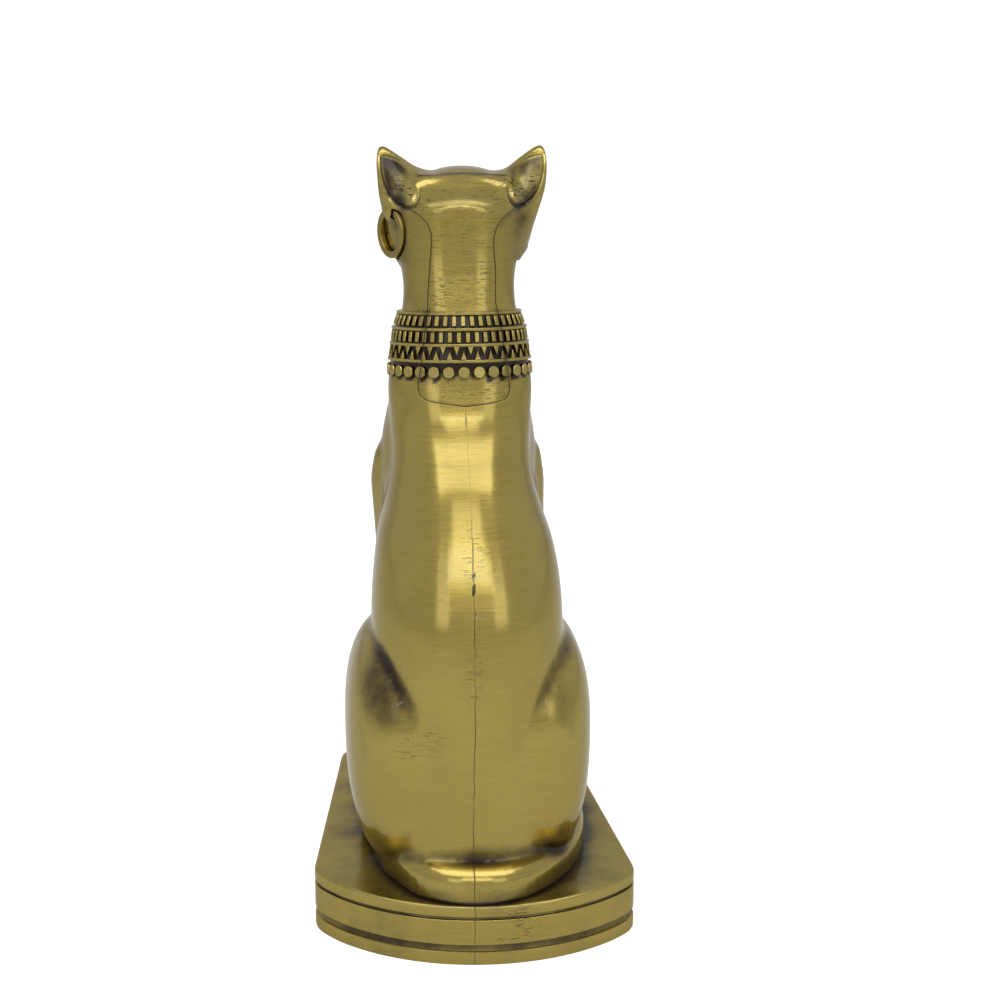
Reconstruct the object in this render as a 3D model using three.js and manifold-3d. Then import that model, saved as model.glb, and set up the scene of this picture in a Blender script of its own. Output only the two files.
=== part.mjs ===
// Seated cat figure on a D-shaped plinth: an antique brass souvenir casting with one hoop earring.
//
// Millimetres, +Z up, the table at z = 0 and the origin under the middle of the plinth. The cat faces
// -Y, so +Y is its back and +X is its left side.
//
// The cat and its plinth are one casting, so they are one solid. The cat is described as masses that
// flow into each other: a trunk with a section at each height, egg shapes and tapering limbs. Two
// grids, one round the body and one round the head, are drawn in onto the surface of those masses.
// Forelegs, feet, tail, ears and collar are shapes of their own, joined on by booleans.
import * as THREE from "three";
import { mergeVertices } from "three/addons/utils/BufferGeometryUtils.js";
import Module from "manifold-3d";

const wasm = await Module();
wasm.setup();

// Driving dimensions
const figureHeight = 165.5; // plinth top to ear tips
const plinthThickness = 14.5;
const plinthRearMargin = 0.8; // behind the tail
const plinthFrontMargin = 8.5; // in front of the toes
const plinthSideMargin = 9.3; // beside the haunches
const plinthTaper = 5.6; // degrees that each side leans in towards the front
const plinthRearRadius = 47; // the round back of the D
const plinthRearSkew = 2.1; // its furthest point lies this far to the cat's right: it was cast askew
const plinthCornerRadius = 4.5;
const plinthEdgeRound = 0.6;
const grooveDepth = 0.8;
const upperGroove = { height: 11.4, width: 0.8 }; // height of its middle above the table
const lowerGroove = { height: 4.1, width: 1.6 };
const sinkDepth = 1.5; // the cat's masses run on this far into the plinth
const figureOffset = 1.6; // the cat sits this far to its own left of the plinth's middle

const hoopDiameter = 11.6;
const hoopBandWidth = 1.7;
const hoopBandThickness = 1.0;
const hoopEdgeRound = 0.3;
const hoopClearance = 0.4; // round the band, in the lobe's hole and beside the head
const hoopTurn = 66; // degrees that its axis turns outwards from straight back
const lobeWall = 1.1; // metal round the hole

// The cat's own proportions are in millimetres of a figure 165.5 high, above the plinth's top, with
// its spine at x = 0. They grow and shrink with figureHeight.
const designHeight = 165.5;
const unit = figureHeight / designHeight;
const headShift = -1.2; // the head sits a little to the cat's right
const rumpShift = -0.8; // and so does the rump

// Trunk and neck: [height, half-width, back y, front y]
const trunkStations = [
  [-4, 22.5, 35.5, -17], [10, 23, 38.5, -18], [27, 23, 41.2, -19], [45, 22.6, 42.2, -20], [62, 22.2, 41, -21],
  [77, 20.4, 36.6, -22.5], [88, 17.3, 30.6, -23.2], [97, 16.2, 24.6, -22], [105, 16.4, 19.6, -18.5],
  [112, 16.6, 17.2, -14.5], [119, 15.6, 15.8, -12.8], [126, 13.8, 14.8, -11.6], [132, 12.6, 13.4, -10.8],
  [140, 12.4, 11.6, -10.4], [148, 12.4, 10.7, -10], [156, 12.4, 10.5, -10],
];
const trunkPower = 2.3; // 2 is an ellipse, more is squarer
// The neck's column ends in a ridge across the back of the head, and slopes from it up to the crown.
const ridge = { y: 10.5, z: 154.3, slope: 0.62, crown: 159.4 };

// Forelegs stand straight under the chest, and each foot has four toes.
const foreleg = { shoulder: [11.6, -12, 86], knee: [9.6, -23.2, 44], wrist: [9, -26.2, 9], radii: [8, 6.7, 5.8] };
const paw = { centre: [9, -35, 3.2], radii: [6.7, 11.6, 5.4] };
const toes = { count: 4, pitch: 3.1, front: -44.6, height: 2.8, radii: [1.95, 3.3, 3.1], bow: 0.35 };
const haunch = { centre: [13.7, 9, 33], radii: [15.2, 30, 25.6], below: 33, before: 28, power: 2.5 };
const hindFoot = { heel: [19.4, 0, 4.4], ball: [18.6, -25, 3.4], heelRadius: 5.5, ballRadius: 4.8 };

// The tail leaves the left haunch, lies round the rump and along the right haunch to the paws.
const tailRoute = [
  [15, 25], [9.5, 36.2], [0, 41.1], [-10, 38.7], [-18.9, 28.8], [-24.4, 15], [-26.4, 0], [-26, -14], [-22.4, -27],
  [-16.5, -33],
];
const tailRadii = { rump: 4.2, tip: 3.3 };
const tailRest = 2; // which point of the route lies furthest back

// An ear's sections: [height, inner edge, outer edge, half its thickness]
const earStations = [
  [143, 9.6, 15.2, 5], [147, 9.7, 16.3, 4.8], [151, 9.9, 17.6, 4.3], [155, 10.3, 18.7, 3.6],
  [159, 11.3, 19.2, 2.8], [162, 13.3, 19.4, 2.1], [164.2, 15.9, 19.2, 1.4], [165.5, 17.8, 18.7, 0.7],
];
const ear = { turn: 38, rootY: -4.6, lean: 0.17, hollowFloor: 148.5, hollowShare: 0.8, wall: 1.3 };

// The collar's rings from the top down, along its own axis: [height, radius]
const ringRows = [[128.4, 14.5], [124.9, 15.7], [121.4, 16.2], [117.8, 16.7]];
const collarHem = [114.6, 17.5]; // lower edge of the round beads
const collar = { tilt: 6.5, middleY: 1.5, depthShare: 0.95, ringWidth: 0.7, ringProud: 0.5, rowInset: 0.4 };

const hoopCentre = [16, -1.6, 146.4];

const { clamp, lerp, degToRad } = THREE.MathUtils;

// Value of one column at height z, on a smooth curve through the stations.
function along(stations, column, z) {
  const last = stations.length - 1;
  let i = 0;
  while (i < last - 1 && z > stations[i + 1][0]) i += 1;
  const slope = (k) => {
    const low = stations[Math.max(k - 1, 0)];
    const high = stations[Math.min(k + 1, last)];
    return (high[column] - low[column]) / (high[0] - low[0]);
  };
  const [a, b] = [stations[i], stations[i + 1]];
  const span = b[0] - a[0];
  const t = clamp((z - a[0]) / span, 0, 1);
  const rise = b[column] - a[column];
  const bend = (slope(i) * span - rise) * (1 - t) - (slope(i + 1) * span - rise) * t;
  return a[column] + rise * t + t * (1 - t) * bend;
}

// Each mass is a function of a point that gives roughly its distance outside the surface. An egg is
// longer above its middle than below, or behind it than in front; a power over 2 makes it squarer.
function egg(centre, radii, { below = radii[2], before = radii[1], power = 2 } = {}) {
  return (x, y, z) => {
    const [dx, dy, dz] = [x - centre[0], y - centre[1], z - centre[2]];
    const r = [radii[0], dy < 0 ? before : radii[1], dz < 0 ? below : radii[2]];
    const q = [Math.abs(dx) / r[0], Math.abs(dy) / r[1], Math.abs(dz) / r[2]];
    const reach = (q[0] ** power + q[1] ** power + q[2] ** power) ** (1 / power);
    if (reach < 1e-6) return -Math.min(...r);
    const steepness = Math.hypot(...q.map((value, axis) => (value / reach) ** (power - 1) / r[axis]));
    return (reach - 1) / steepness;
  };
}

function limb(from, to, fromRadius, toRadius) {
  const run = to.map((value, axis) => value - from[axis]);
  const lengthSquared = run.reduce((sum, value) => sum + value * value, 0);
  return (x, y, z) => {
    const [dx, dy, dz] = [x - from[0], y - from[1], z - from[2]];
    const t = clamp((dx * run[0] + dy * run[1] + dz * run[2]) / lengthSquared, 0, 1);
    const gap = Math.hypot(dx - run[0] * t, dy - run[1] * t, dz - run[2] * t);
    return gap - lerp(fromRadius, toRadius, t);
  };
}

function trunk(x, y, z) {
  const width = along(trunkStations, 1, z);
  const back = along(trunkStations, 2, z);
  const front = along(trunkStations, 3, z);
  const dy = y - (back + front) / 2;
  const across = (Math.abs(x) / width) ** trunkPower;
  const deep = (Math.abs(dy) / ((back - front) / 2)) ** trunkPower;
  const share = (across + deep) ** (1 / trunkPower);
  const side = share < 1e-6 ? -width : Math.hypot(x, dy) * (1 - 1 / share);
  const slope = (z - ridge.z - ridge.slope * (ridge.y - y)) / Math.hypot(1, ridge.slope);
  return Math.max(side, slope, z - ridge.crown);
}

// The lesser of two distances, with a fillet about as wide as `blend` where they meet.
function join(a, b, blend) {
  const near = Math.max(blend - Math.abs(a - b), 0) / blend;
  return Math.min(a, b) - (near * near * blend) / 4;
}

// Both sides are alike, so a mass given for the left side stands on both.
function flowTogether(first, others, shiftAt) {
  return (x, y, z) => {
    const side = Math.abs(x - shiftAt(z));
    return others.reduce((distance, [mass, blend]) => join(distance, mass(side, y, z), blend), first(side, y, z));
  };
}

const bodyField = flowTogether(trunk, [
  [egg([0, -9, 87], [13.5, 16.5, 23]), 8], // chest
  [egg([10.7, -5, 93], [7.7, 12, 15.5], { below: 20 }), 5], // shoulder
  [limb([12.2, -7, 86], [13.1, -9, 60], 6, 6.4), 5], // upper arm
  [egg(haunch.centre, haunch.radii, haunch), 2.2],
], (z) => rumpShift * (1 - THREE.MathUtils.smoothstep(z, 68, 92)));

const headField = flowTogether(egg([0, -7, 147.3], [15.4, 16.5, 13.4], { before: 14, power: 2.3 }), [
  [limb([0, -2.4, 140], [0, 0.6, 124], 11.8, 11), 4], // neck
  [limb([0, -12, 146], [0, -19.5, 142.4], 12, 8), 5], // face
  [egg([8.4, -12.6, 142.4], [6.8, 8.6, 7.2]), 4], // cheek
  [egg([0, -21.8, 140], [7.6, 5.6, 5.4]), 2.5], // muzzle
  [egg([3.2, -24.9, 139.8], [3.6, 2.9, 3]), 1.2], // whisker pad
  [egg([0, -22.6, 135.8], [4.6, 4, 2.8]), 1.5], // chin
  [limb([0, -16, 152], [0, -25.6, 143.6], 4.4, 2.2), 2.5], // bridge of the nose
  [limb([3.6, -20.2, 150.8], [11, -14.6, 152.4], 2, 1.6), 2.5], // brow
], (z) => headShift * THREE.MathUtils.smoothstep(z, 130, 150));

// Distance from a point inside, along a direction, to the outermost surface of a field.
function reachTo(field, core, direction, longest) {
  const at = (d) => field(core.x + direction.x * d, core.y + direction.y * d, core.z + direction.z * d);
  const step = longest / 60;
  let outside = longest;
  while (outside > step && at(outside - step) > 0) outside -= step;
  let inside = outside - step;
  for (let i = 0; i < 20; i += 1) {
    const middle = (inside + outside) / 2;
    if (at(middle) < 0) inside = middle;
    else outside = middle;
  }
  return inside;
}

// A three.js geometry as a closed solid: its shared corners are merged first.
function solid(geometry) {
  geometry.deleteAttribute("normal");
  geometry.deleteAttribute("uv");
  const merged = mergeVertices(geometry, 1e-4);
  return new wasm.Manifold(new wasm.Mesh({
    numProp: 3,
    vertProperties: new Float32Array(merged.attributes.position.array),
    triVerts: new Uint32Array(merged.index.array),
  }));
}

// Moves every corner of a geometry to where `place` puts it.
function reshape(geometry, place) {
  const corners = geometry.attributes.position;
  for (let i = 0; i < corners.count; i += 1) {
    const point = place(new THREE.Vector3().fromBufferAttribute(corners, i));
    corners.setXYZ(i, point.x, point.y, point.z);
  }
  return solid(geometry);
}

// A closed cylinder's grid, each corner put where `place` says. It gets the share of the way up, the
// angle round from the front towards the cat's left, and 1 on the wall or 0 in the middle of an end.
function gridSolid(around, levels, place) {
  return reshape(new THREE.CylinderGeometry(1, 1, 1, around, levels), (corner) => {
    const radius = Math.round(Math.hypot(corner.x, corner.z));
    return place(corner.y + 0.5, Math.atan2(corner.x, corner.z), radius);
  });
}

function eggSolid(centre, radii, around, levels) {
  const ball = new THREE.SphereGeometry(1, around, levels);
  ball.rotateX(Math.PI / 2);
  ball.scale(...radii);
  ball.translate(...centre);
  return solid(ball);
}

// A tapering limb with round ends, turned about its own line.
function limbSolid(from, to, fromRadius, toRadius, sides) {
  const start = new THREE.Vector3(...from);
  const line = new THREE.Vector3(...to).sub(start);
  const arcSteps = 3;
  const profile = [];
  for (let i = 0; i <= arcSteps; i += 1) {
    const angle = ((i / arcSteps) * Math.PI) / 2;
    profile.push(new THREE.Vector2(fromRadius * Math.sin(angle), -fromRadius * Math.cos(angle)));
  }
  for (let i = arcSteps; i >= 0; i -= 1) {
    const angle = ((i / arcSteps) * Math.PI) / 2;
    profile.push(new THREE.Vector2(toRadius * Math.sin(angle), line.length() + toRadius * Math.cos(angle)));
  }
  const turned = new THREE.LatheGeometry(profile, sides);
  turned.applyQuaternion(new THREE.Quaternion().setFromUnitVectors(THREE.Object3D.DEFAULT_UP, line.normalize()));
  turned.translate(...from);
  return solid(turned);
}

function bothSides(manifold) {
  return manifold.add(manifold.mirror([1, 0, 0]));
}

// The body is drawn in level by level, towards the middle of the trunk.
function bodySolid() {
  const [bottom, top] = [-sinkDepth / unit, ridge.z];
  return gridSolid(40, 30, (share, angle, radius) => {
    const z = lerp(bottom, top, share);
    const middleY = (along(trunkStations, 2, z) + along(trunkStations, 3, z)) / 2;
    const core = new THREE.Vector3(0, middleY, z);
    const direction = new THREE.Vector3(Math.sin(angle), -Math.cos(angle), 0);
    return core.addScaledVector(direction, radius * reachTo(bodyField, core, direction, 60));
  });
}

// The head is drawn in from all round, with a stub that runs down inside the neck.
function headSolid() {
  const core = new THREE.Vector3(headShift, -8, 146);
  const ball = new THREE.SphereGeometry(1, 28, 18);
  ball.rotateX(Math.PI / 2);
  return reshape(ball, (corner) => {
    const direction = corner.normalize();
    return core.clone().addScaledVector(direction, reachTo(headField, core, direction, 40));
  });
}

function forelegSolid() {
  let foot = eggSolid(paw.centre, paw.radii, 14, 8);
  for (let i = 0; i < toes.count; i += 1) {
    const across = (i - (toes.count - 1) / 2) * toes.pitch;
    const middle = [paw.centre[0] + across, toes.front + Math.abs(across) * toes.bow, toes.height];
    foot = foot.add(eggSolid(middle, toes.radii, 8, 5));
  }
  const [high, middle, low] = foreleg.radii;
  const upper = limbSolid(foreleg.shoulder, foreleg.knee, high, middle, 12);
  return foot.add(upper).add(limbSolid(foreleg.knee, foreleg.wrist, middle, low, 12));
}

function hindFootSolid() {
  return limbSolid(hindFoot.heel, hindFoot.ball, hindFoot.heelRadius, hindFoot.ballRadius, 10);
}

// The tail's section is round above, with sides that run straight down into the plinth below.
function tailSolid() {
  const route = new THREE.CatmullRomCurve3(tailRoute.map(([x, y]) => new THREE.Vector3(x, y, 0)));
  const tipShare = 0.05;
  return gridSolid(10, 22, (share, angle, radius) => {
    const centre = route.getPointAt(share);
    const heading = route.getTangentAt(share);
    const side = new THREE.Vector3(-heading.y, heading.x, 0);
    const nearTip = clamp((share - 1 + tipShare) / tipShare, 0, 0.98);
    const size = lerp(tailRadii.rump, tailRadii.tip, share) * Math.sqrt(1 - nearTip * nearTip);
    const lift = -Math.cos(angle);
    const height = lift > -0.1 ? size * (1 + lift) : -sinkDepth / unit;
    centre.addScaledVector(side, radius * size * Math.sin(angle));
    centre.z = radius ? height : size * 0.8;
    return centre;
  });
}

// Fills the crevice between tail, haunch and plinth, which a casting can't have.
function tailBedSolid() {
  const outline = new THREE.Shape(tailRoute.map(([x, y]) => new THREE.Vector2(x, y)));
  const depth = sinkDepth / unit + tailRadii.rump * 1.3;
  const bed = new THREE.ExtrudeGeometry(outline, { depth, steps: 1, bevelEnabled: false });
  return solid(bed.translate(0, 0, -sinkDepth / unit));
}

// An ear is a leaf that faces forwards and outwards, with a hollow in its front.
function earLeaf(bottom, top, share, forward) {
  const turn = degToRad(ear.turn);
  const across = new THREE.Vector3(Math.cos(turn), Math.sin(turn), 0);
  const facing = new THREE.Vector3(Math.sin(turn), -Math.cos(turn), 0);
  return gridSolid(12, 7, (up, angle, radius) => {
    const z = lerp(bottom, top, up);
    const [inner, outer] = [along(earStations, 1, z), along(earStations, 2, z)];
    const halfWidth = (share * (outer - inner)) / 2 / Math.cos(turn);
    const halfDepth = share * along(earStations, 3, z);
    const centre = new THREE.Vector3((inner + outer) / 2, ear.rootY - ear.lean * (z - earStations[0][0]), z);
    centre.addScaledVector(across, radius * halfWidth * Math.sin(angle));
    return centre.addScaledVector(facing, forward + radius * halfDepth * Math.cos(angle));
  });
}

function earSolid() {
  const [bottom, top] = [earStations[0][0], earStations[earStations.length - 1][0]];
  const leaf = earLeaf(bottom, top, 1, 0);
  return leaf.subtract(earLeaf(ear.hollowFloor, top - ear.wall, ear.hollowShare, ear.wall * 1.6));
}

// The collar: rings that stand proud, with the bead rows set back between them.
function collarSolid() {
  const middle = ringRows[1][0];
  const profile = [[0, collarHem[0]], [collarHem[1], collarHem[0]]];
  ringRows.toReversed().forEach(([height, radius]) => {
    const [low, high] = [height - collar.ringWidth / 2, height + collar.ringWidth / 2];
    profile.push([radius - collar.rowInset * 0.3, low], [radius + collar.ringProud, low]);
    profile.push([radius + collar.ringProud, high], [radius - collar.rowInset, high]);
  });
  profile.push([0, ringRows[0][0] + collar.ringWidth / 2]);
  const turned = new THREE.LatheGeometry(profile.map(([r, h]) => new THREE.Vector2(r, h - middle)), 30);
  turned.rotateX(Math.PI / 2);
  turned.scale(1, collar.depthShare, 1);
  turned.rotateX(degToRad(collar.tilt));
  turned.translate(0, collar.middleY, middle);
  return solid(turned);
}

// The hoop hangs in its lobe, and its axis points backwards and outwards. `extra` makes it fatter.
function hoopSolid(extra) {
  const [outer, inner] = [hoopDiameter / 2 + extra, hoopDiameter / 2 - hoopBandThickness - extra];
  const half = hoopBandWidth / 2 + extra;
  const round = hoopEdgeRound;
  const section = [
    [inner, -half + round], [inner + round, -half], [outer - round, -half], [outer, -half + round],
    [outer, half - round], [outer - round, half], [inner + round, half], [inner, half - round],
    [inner, -half + round],
  ];
  const ring = new THREE.LatheGeometry(section.map(([r, h]) => new THREE.Vector2(r, h)), 20);
  const axis = new THREE.Vector3(Math.sin(degToRad(hoopTurn)), Math.cos(degToRad(hoopTurn)), 0);
  ring.applyQuaternion(new THREE.Quaternion().setFromUnitVectors(THREE.Object3D.DEFAULT_UP, axis));
  ring.translate(...hoopMiddle());
  return solid(ring);
}

function hoopMiddle() {
  return [(hoopCentre[0] + headShift) * unit, hoopCentre[1] * unit, hoopCentre[2] * unit];
}

// The lobe is the ear's lower end, a knob round the top of the hoop.
function lobeSolid() {
  const hole = Math.hypot(hoopBandWidth, hoopBandThickness) / 2 + hoopClearance;
  const radius = hole + lobeWall;
  const middle = hoopMiddle();
  middle[2] += (hoopDiameter - hoopBandThickness) / 2;
  return eggSolid(middle, [radius, radius, radius], 12, 8);
}

// The plinth is made to the cat's footprint and the margins round it.
const footprint = {
  back: (tailRoute[tailRest][1] + tailRadii.rump) * unit,
  front: (toes.front - toes.radii[1]) * unit,
  side: (haunch.centre[0] + haunch.radii[0]) * unit,
};
const plinthLength = footprint.back + plinthRearMargin + plinthFrontMargin - footprint.front;
const plinthHalfWidth = footprint.side + plinthSideMargin;
const figureBack = plinthLength / 2 - plinthRearMargin - footprint.back;

// Its outline from the middle of the front edge round by the cat's left, as a closed list of points.
function plinthOutline() {
  const middleFront = new THREE.Vector2(0, -plinthLength / 2);
  const right = plinthSide(-1);
  return [middleFront, ...plinthSide(1), ...right.toReversed()];
}

// One side of it, from the front corner to near the middle of the round back.
function plinthSide(sign) {
  const front = -plinthLength / 2;
  const arcMiddle = new THREE.Vector2(-plinthRearSkew, plinthLength / 2 - plinthRearRadius);
  const widest = arcMiddle.y + Math.sqrt(plinthRearRadius ** 2 - plinthHalfWidth ** 2);
  const edgeAt = (y) => sign * (plinthHalfWidth - Math.tan(degToRad(plinthTaper)) * Math.abs(widest - y));
  const backAt = (x) => arcMiddle.y + Math.sqrt(plinthRearRadius ** 2 - (x - arcMiddle.x) ** 2);
  let cornerY = widest;
  for (let i = 0; i < 12; i += 1) cornerY = backAt(edgeAt(cornerY));
  const frontCorner = new THREE.Vector2(edgeAt(front), front);
  const rearCorner = new THREE.Vector2(edgeAt(cornerY), cornerY);
  const arcStart = rearCorner.x - sign * plinthCornerRadius * 0.8;
  const onBack = new THREE.Vector2(arcStart, backAt(arcStart));
  const points = cornerPoints(new THREE.Vector2(0, front), frontCorner, rearCorner);
  points.push(...cornerPoints(frontCorner, rearCorner, onBack));
  const arcSteps = 7;
  for (let i = 1; i < arcSteps; i += 1) {
    const x = arcStart * (1 - i / arcSteps);
    points.push(new THREE.Vector2(x, backAt(x)));
  }
  if (sign > 0) points.push(new THREE.Vector2(0, backAt(0)));
  return points;
}

function cornerPoints(before, corner, after) {
  const towards = (end) => corner.clone().add(end.clone().sub(corner).setLength(plinthCornerRadius));
  return new THREE.QuadraticBezierCurve(towards(before), corner, towards(after)).getPoints(3);
}

function plinthSolid() {
  const outline = plinthOutline();
  const count = outline.length;
  const inward = outline.map((point, i) => {
    const run = outline[(i + 1) % count].clone().sub(outline[(i + count - 1) % count]).normalize();
    return new THREE.Vector2(-run.y, run.x);
  });
  const wall = (height, inset) => ({ height, inset });
  const groove = ({ height, width }) => [
    wall(height - width / 2, 0), wall(height - width / 2 + 0.1, grooveDepth),
    wall(height + width / 2 - 0.1, grooveDepth), wall(height + width / 2, 0),
  ];
  const round = plinthEdgeRound;
  const profile = [
    wall(0, round), wall(round * 0.3, round * 0.3), wall(round, 0),
    ...groove(lowerGroove), ...groove(upperGroove),
    wall(plinthThickness - round, 0), wall(plinthThickness - round * 0.3, round * 0.3),
    wall(plinthThickness, round),
  ];
  return gridSolid(count, profile.length - 1, (share, angle, radius) => {
    const { height, inset } = profile[Math.round(share * (profile.length - 1))];
    const i = (Math.round((angle / (2 * Math.PI)) * count) + count) % count;
    const edge = outline[i].clone().addScaledVector(inward[i], inset).multiplyScalar(radius);
    return new THREE.Vector3(edge.x, edge.y, height);
  });
}

function onPlinth(manifold) {
  return manifold.translate([figureOffset, figureBack, plinthThickness]);
}

// Puts the origin under the middle of the plinth's box.
function centred(manifold) {
  const middle = new THREE.Box2().setFromPoints(plinthOutline()).getCenter(new THREE.Vector2());
  return manifold.translate([-middle.x, -middle.y, 0]);
}

function catSolid() {
  const cat = [
    bodySolid(),
    headSolid(),
    bothSides(forelegSolid()),
    bothSides(hindFootSolid()),
    tailSolid(),
    tailBedSolid(),
    bothSides(earSolid()).translate([headShift, 0, 0]),
    collarSolid(),
  ].reduce((whole, piece) => whole.add(piece)).scale(unit);
  const below = new THREE.BoxGeometry(300, 300, 100).translate(0, 0, -50 - sinkDepth);
  const standing = cat.add(lobeSolid()).subtract(hoopSolid(hoopClearance)).subtract(solid(below));
  return onPlinth(standing).add(plinthSolid());
}

const antiqueBrass = new THREE.MeshStandardMaterial({
  name: "antique_brass", color: 0x9a8a48, roughness: 0.32, metalness: 1,
});
const earringBrass = new THREE.MeshStandardMaterial({
  name: "earring_brass", color: 0x8f7f42, roughness: 0.28, metalness: 1,
});

// A named sub-part from a finished solid.
function subPart(name, manifold, material) {
  const { vertProperties, triVerts } = manifold.getMesh();
  const geometry = new THREE.BufferGeometry();
  geometry.setAttribute("position", new THREE.BufferAttribute(new Float32Array(vertProperties), 3));
  geometry.setIndex(new THREE.BufferAttribute(new Uint32Array(triVerts), 1));
  geometry.computeVertexNormals();
  const mesh = new THREE.Mesh(geometry, material);
  mesh.name = name;
  return mesh;
}

const model = new THREE.Group();
model.add(subPart("cat_figure", centred(catSolid()), antiqueBrass));
model.add(subPart("earring", centred(onPlinth(hoopSolid(0))), earringBrass));

export default model;
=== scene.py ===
# %% [markdown]
# # A souvenir cat in antiqued brass
#
# The real object is a seated cat on a D-shaped plinth, 180 mm high: a hollow zinc casting, plated
# with brass, darkened and then rubbed bright again, with one hoop through its left ear. The camera
# looks at its back.
#
# This lesson builds it the way a modeller would. Simple shapes are piled up, fused by a voxel
# remesh and drawn in onto one smooth description of the cat. The carving comes next, then collar
# and plinth are joined on, and at last the finish is painted by what the shape itself says about
# recesses and edges.

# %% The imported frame
import math

import bmesh
import bpy
import numpy as np
from mathutils import Matrix, Vector


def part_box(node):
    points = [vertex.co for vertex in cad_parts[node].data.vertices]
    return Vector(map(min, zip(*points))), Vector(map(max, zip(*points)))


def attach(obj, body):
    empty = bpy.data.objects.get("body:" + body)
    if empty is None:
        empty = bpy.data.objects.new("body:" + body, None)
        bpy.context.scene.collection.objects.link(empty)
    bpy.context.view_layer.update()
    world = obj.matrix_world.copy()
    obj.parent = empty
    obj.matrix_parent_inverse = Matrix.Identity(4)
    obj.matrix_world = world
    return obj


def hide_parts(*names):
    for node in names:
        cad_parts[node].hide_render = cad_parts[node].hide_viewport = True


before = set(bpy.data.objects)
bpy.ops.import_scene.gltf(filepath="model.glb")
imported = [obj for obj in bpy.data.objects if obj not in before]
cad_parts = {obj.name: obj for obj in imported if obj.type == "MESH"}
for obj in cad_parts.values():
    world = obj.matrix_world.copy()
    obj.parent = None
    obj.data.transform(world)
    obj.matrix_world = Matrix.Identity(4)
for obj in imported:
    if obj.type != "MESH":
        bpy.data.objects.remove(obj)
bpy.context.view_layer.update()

# %% [markdown]
# ## Where the cat stands
#
# The cat's own sizes are in millimetres above the plinth's top, with its spine at x = 0, its back
# towards +Y and its left side towards +X. One small helper turns its points into the scene's
# metres, and it is used only once, when everything is built.

# %% The cat's own frame
MM = 0.001
PLINTH_HEIGHT = 14.5
CAT_PLACE = np.array([1.6, 5.17, PLINTH_HEIGHT])
FIGURE_HEIGHT = 165.5


def to_scene(points):
    return (np.asarray(points, float) + CAT_PLACE) * MM


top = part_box("cat_figure")[1].z / MM
print("ear tips above the table:", round(top, 2), "mm, expected", PLINTH_HEIGHT + FIGURE_HEIGHT)

# %% [markdown]
# ## Masses that flow together
#
# A sculptor blocks out a cat as masses: an egg for the haunch, a tapering limb for the foreleg, a
# column for trunk and neck. Each mass here is a function that tells how far a point lies outside
# it. Two masses are joined by taking the lesser distance, with a fillet where the two are nearly
# equal, so the whole cat is one smooth surface: the points where the joined distance is nought.

# %% Joining two distances
def join(a, b, blend):
    near = np.maximum(blend - np.abs(a - b), 0) / blend
    return np.minimum(a, b) - near * near * blend / 4


def cut(a, b, blend):
    return -join(-a, -b, blend)


def step(low, high, value):
    t = np.clip((value - low) / (high - low), 0, 1)
    return t * t * (3 - 2 * t)


# %% Eggs and limbs
def egg(p, centre, radii, below=None, before=None, power=2.0):
    d = p - np.asarray(centre, float)
    r = np.empty_like(d)
    r[:, 0] = radii[0]
    r[:, 1] = np.where(d[:, 1] < 0, before or radii[1], radii[1])
    r[:, 2] = np.where(d[:, 2] < 0, below or radii[2], radii[2])
    q = np.abs(d) / r
    reach = np.maximum((q ** power).sum(1) ** (1 / power), 1e-6)
    steepness = np.linalg.norm((q / reach[:, None]) ** (power - 1) / r, axis=1)
    return (reach - 1) / np.maximum(steepness, 1e-9)


def limb(p, start, end, start_radius, end_radius):
    start, run = np.asarray(start, float), np.subtract(end, start).astype(float)
    d = p - start
    t = np.clip(d @ run / (run @ run), 0, 1)
    radius = start_radius + (end_radius - start_radius) * t
    return np.linalg.norm(d - t[:, None] * run, axis=1) - radius


# %% [markdown]
# ## The trunk
#
# Trunk and neck are one column whose width and depth change with height. A list of stations holds
# them, and a smooth curve runs through the stations. The neck ends in a ridge across the back of
# the head, and a hollow band slopes up from it to the crown.

# %% Stations of the trunk
# height, half-width, back, front
TRUNK = np.array([
    [-4, 22.5, 37, -17], [10, 23, 39.4, -18], [27, 23, 41.2, -19], [45, 22.6, 42.2, -20],
    [62, 22.2, 40.7, -21], [70, 21.5, 38.4, -21.8], [77, 20.3, 35.6, -22.5],
    [84, 18.3, 32.5, -23.1], [91, 16.7, 28.8, -22.6], [97, 16.1, 24.7, -20.4],
    [105, 16.4, 19.5, -16.4], [112, 16.6, 17.2, -13.3], [119, 15.6, 15.8, -12.4],
    [126, 13.8, 14.8, -11.9], [132, 12.6, 13.4, -11.2], [140, 12.4, 11.6, -10.4],
    [148, 12.4, 10.7, -10], [156, 12.4, 10.5, -10]])
TRUNK_POWER = 2.3
# the ridge across the back of the head, the band that climbs from it to the crown, and two fillets
RIDGE = {"y": 10.5, "z": 154.9, "slope": 0.62, "band": 10.5, "crown": 159.6, "arch": 0.026,
         "crown_fillet": 1.2, "ridge_fillet": 2.0}


def along(stations, column, z):
    heights, values = stations[:, 0], stations[:, column]
    slopes = np.empty(len(heights))
    slopes[1:-1] = (values[2:] - values[:-2]) / (heights[2:] - heights[:-2])
    slopes[0] = (values[1] - values[0]) / (heights[1] - heights[0])
    slopes[-1] = (values[-1] - values[-2]) / (heights[-1] - heights[-2])
    i = np.clip(np.searchsorted(heights, z) - 1, 0, len(heights) - 2)
    span = heights[i + 1] - heights[i]
    t = np.clip((z - heights[i]) / span, 0, 1)
    rise = values[i + 1] - values[i]
    bend = (slopes[i] * span - rise) * (1 - t) - (slopes[i + 1] * span - rise) * t
    return values[i] + rise * t + t * (1 - t) * bend


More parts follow.
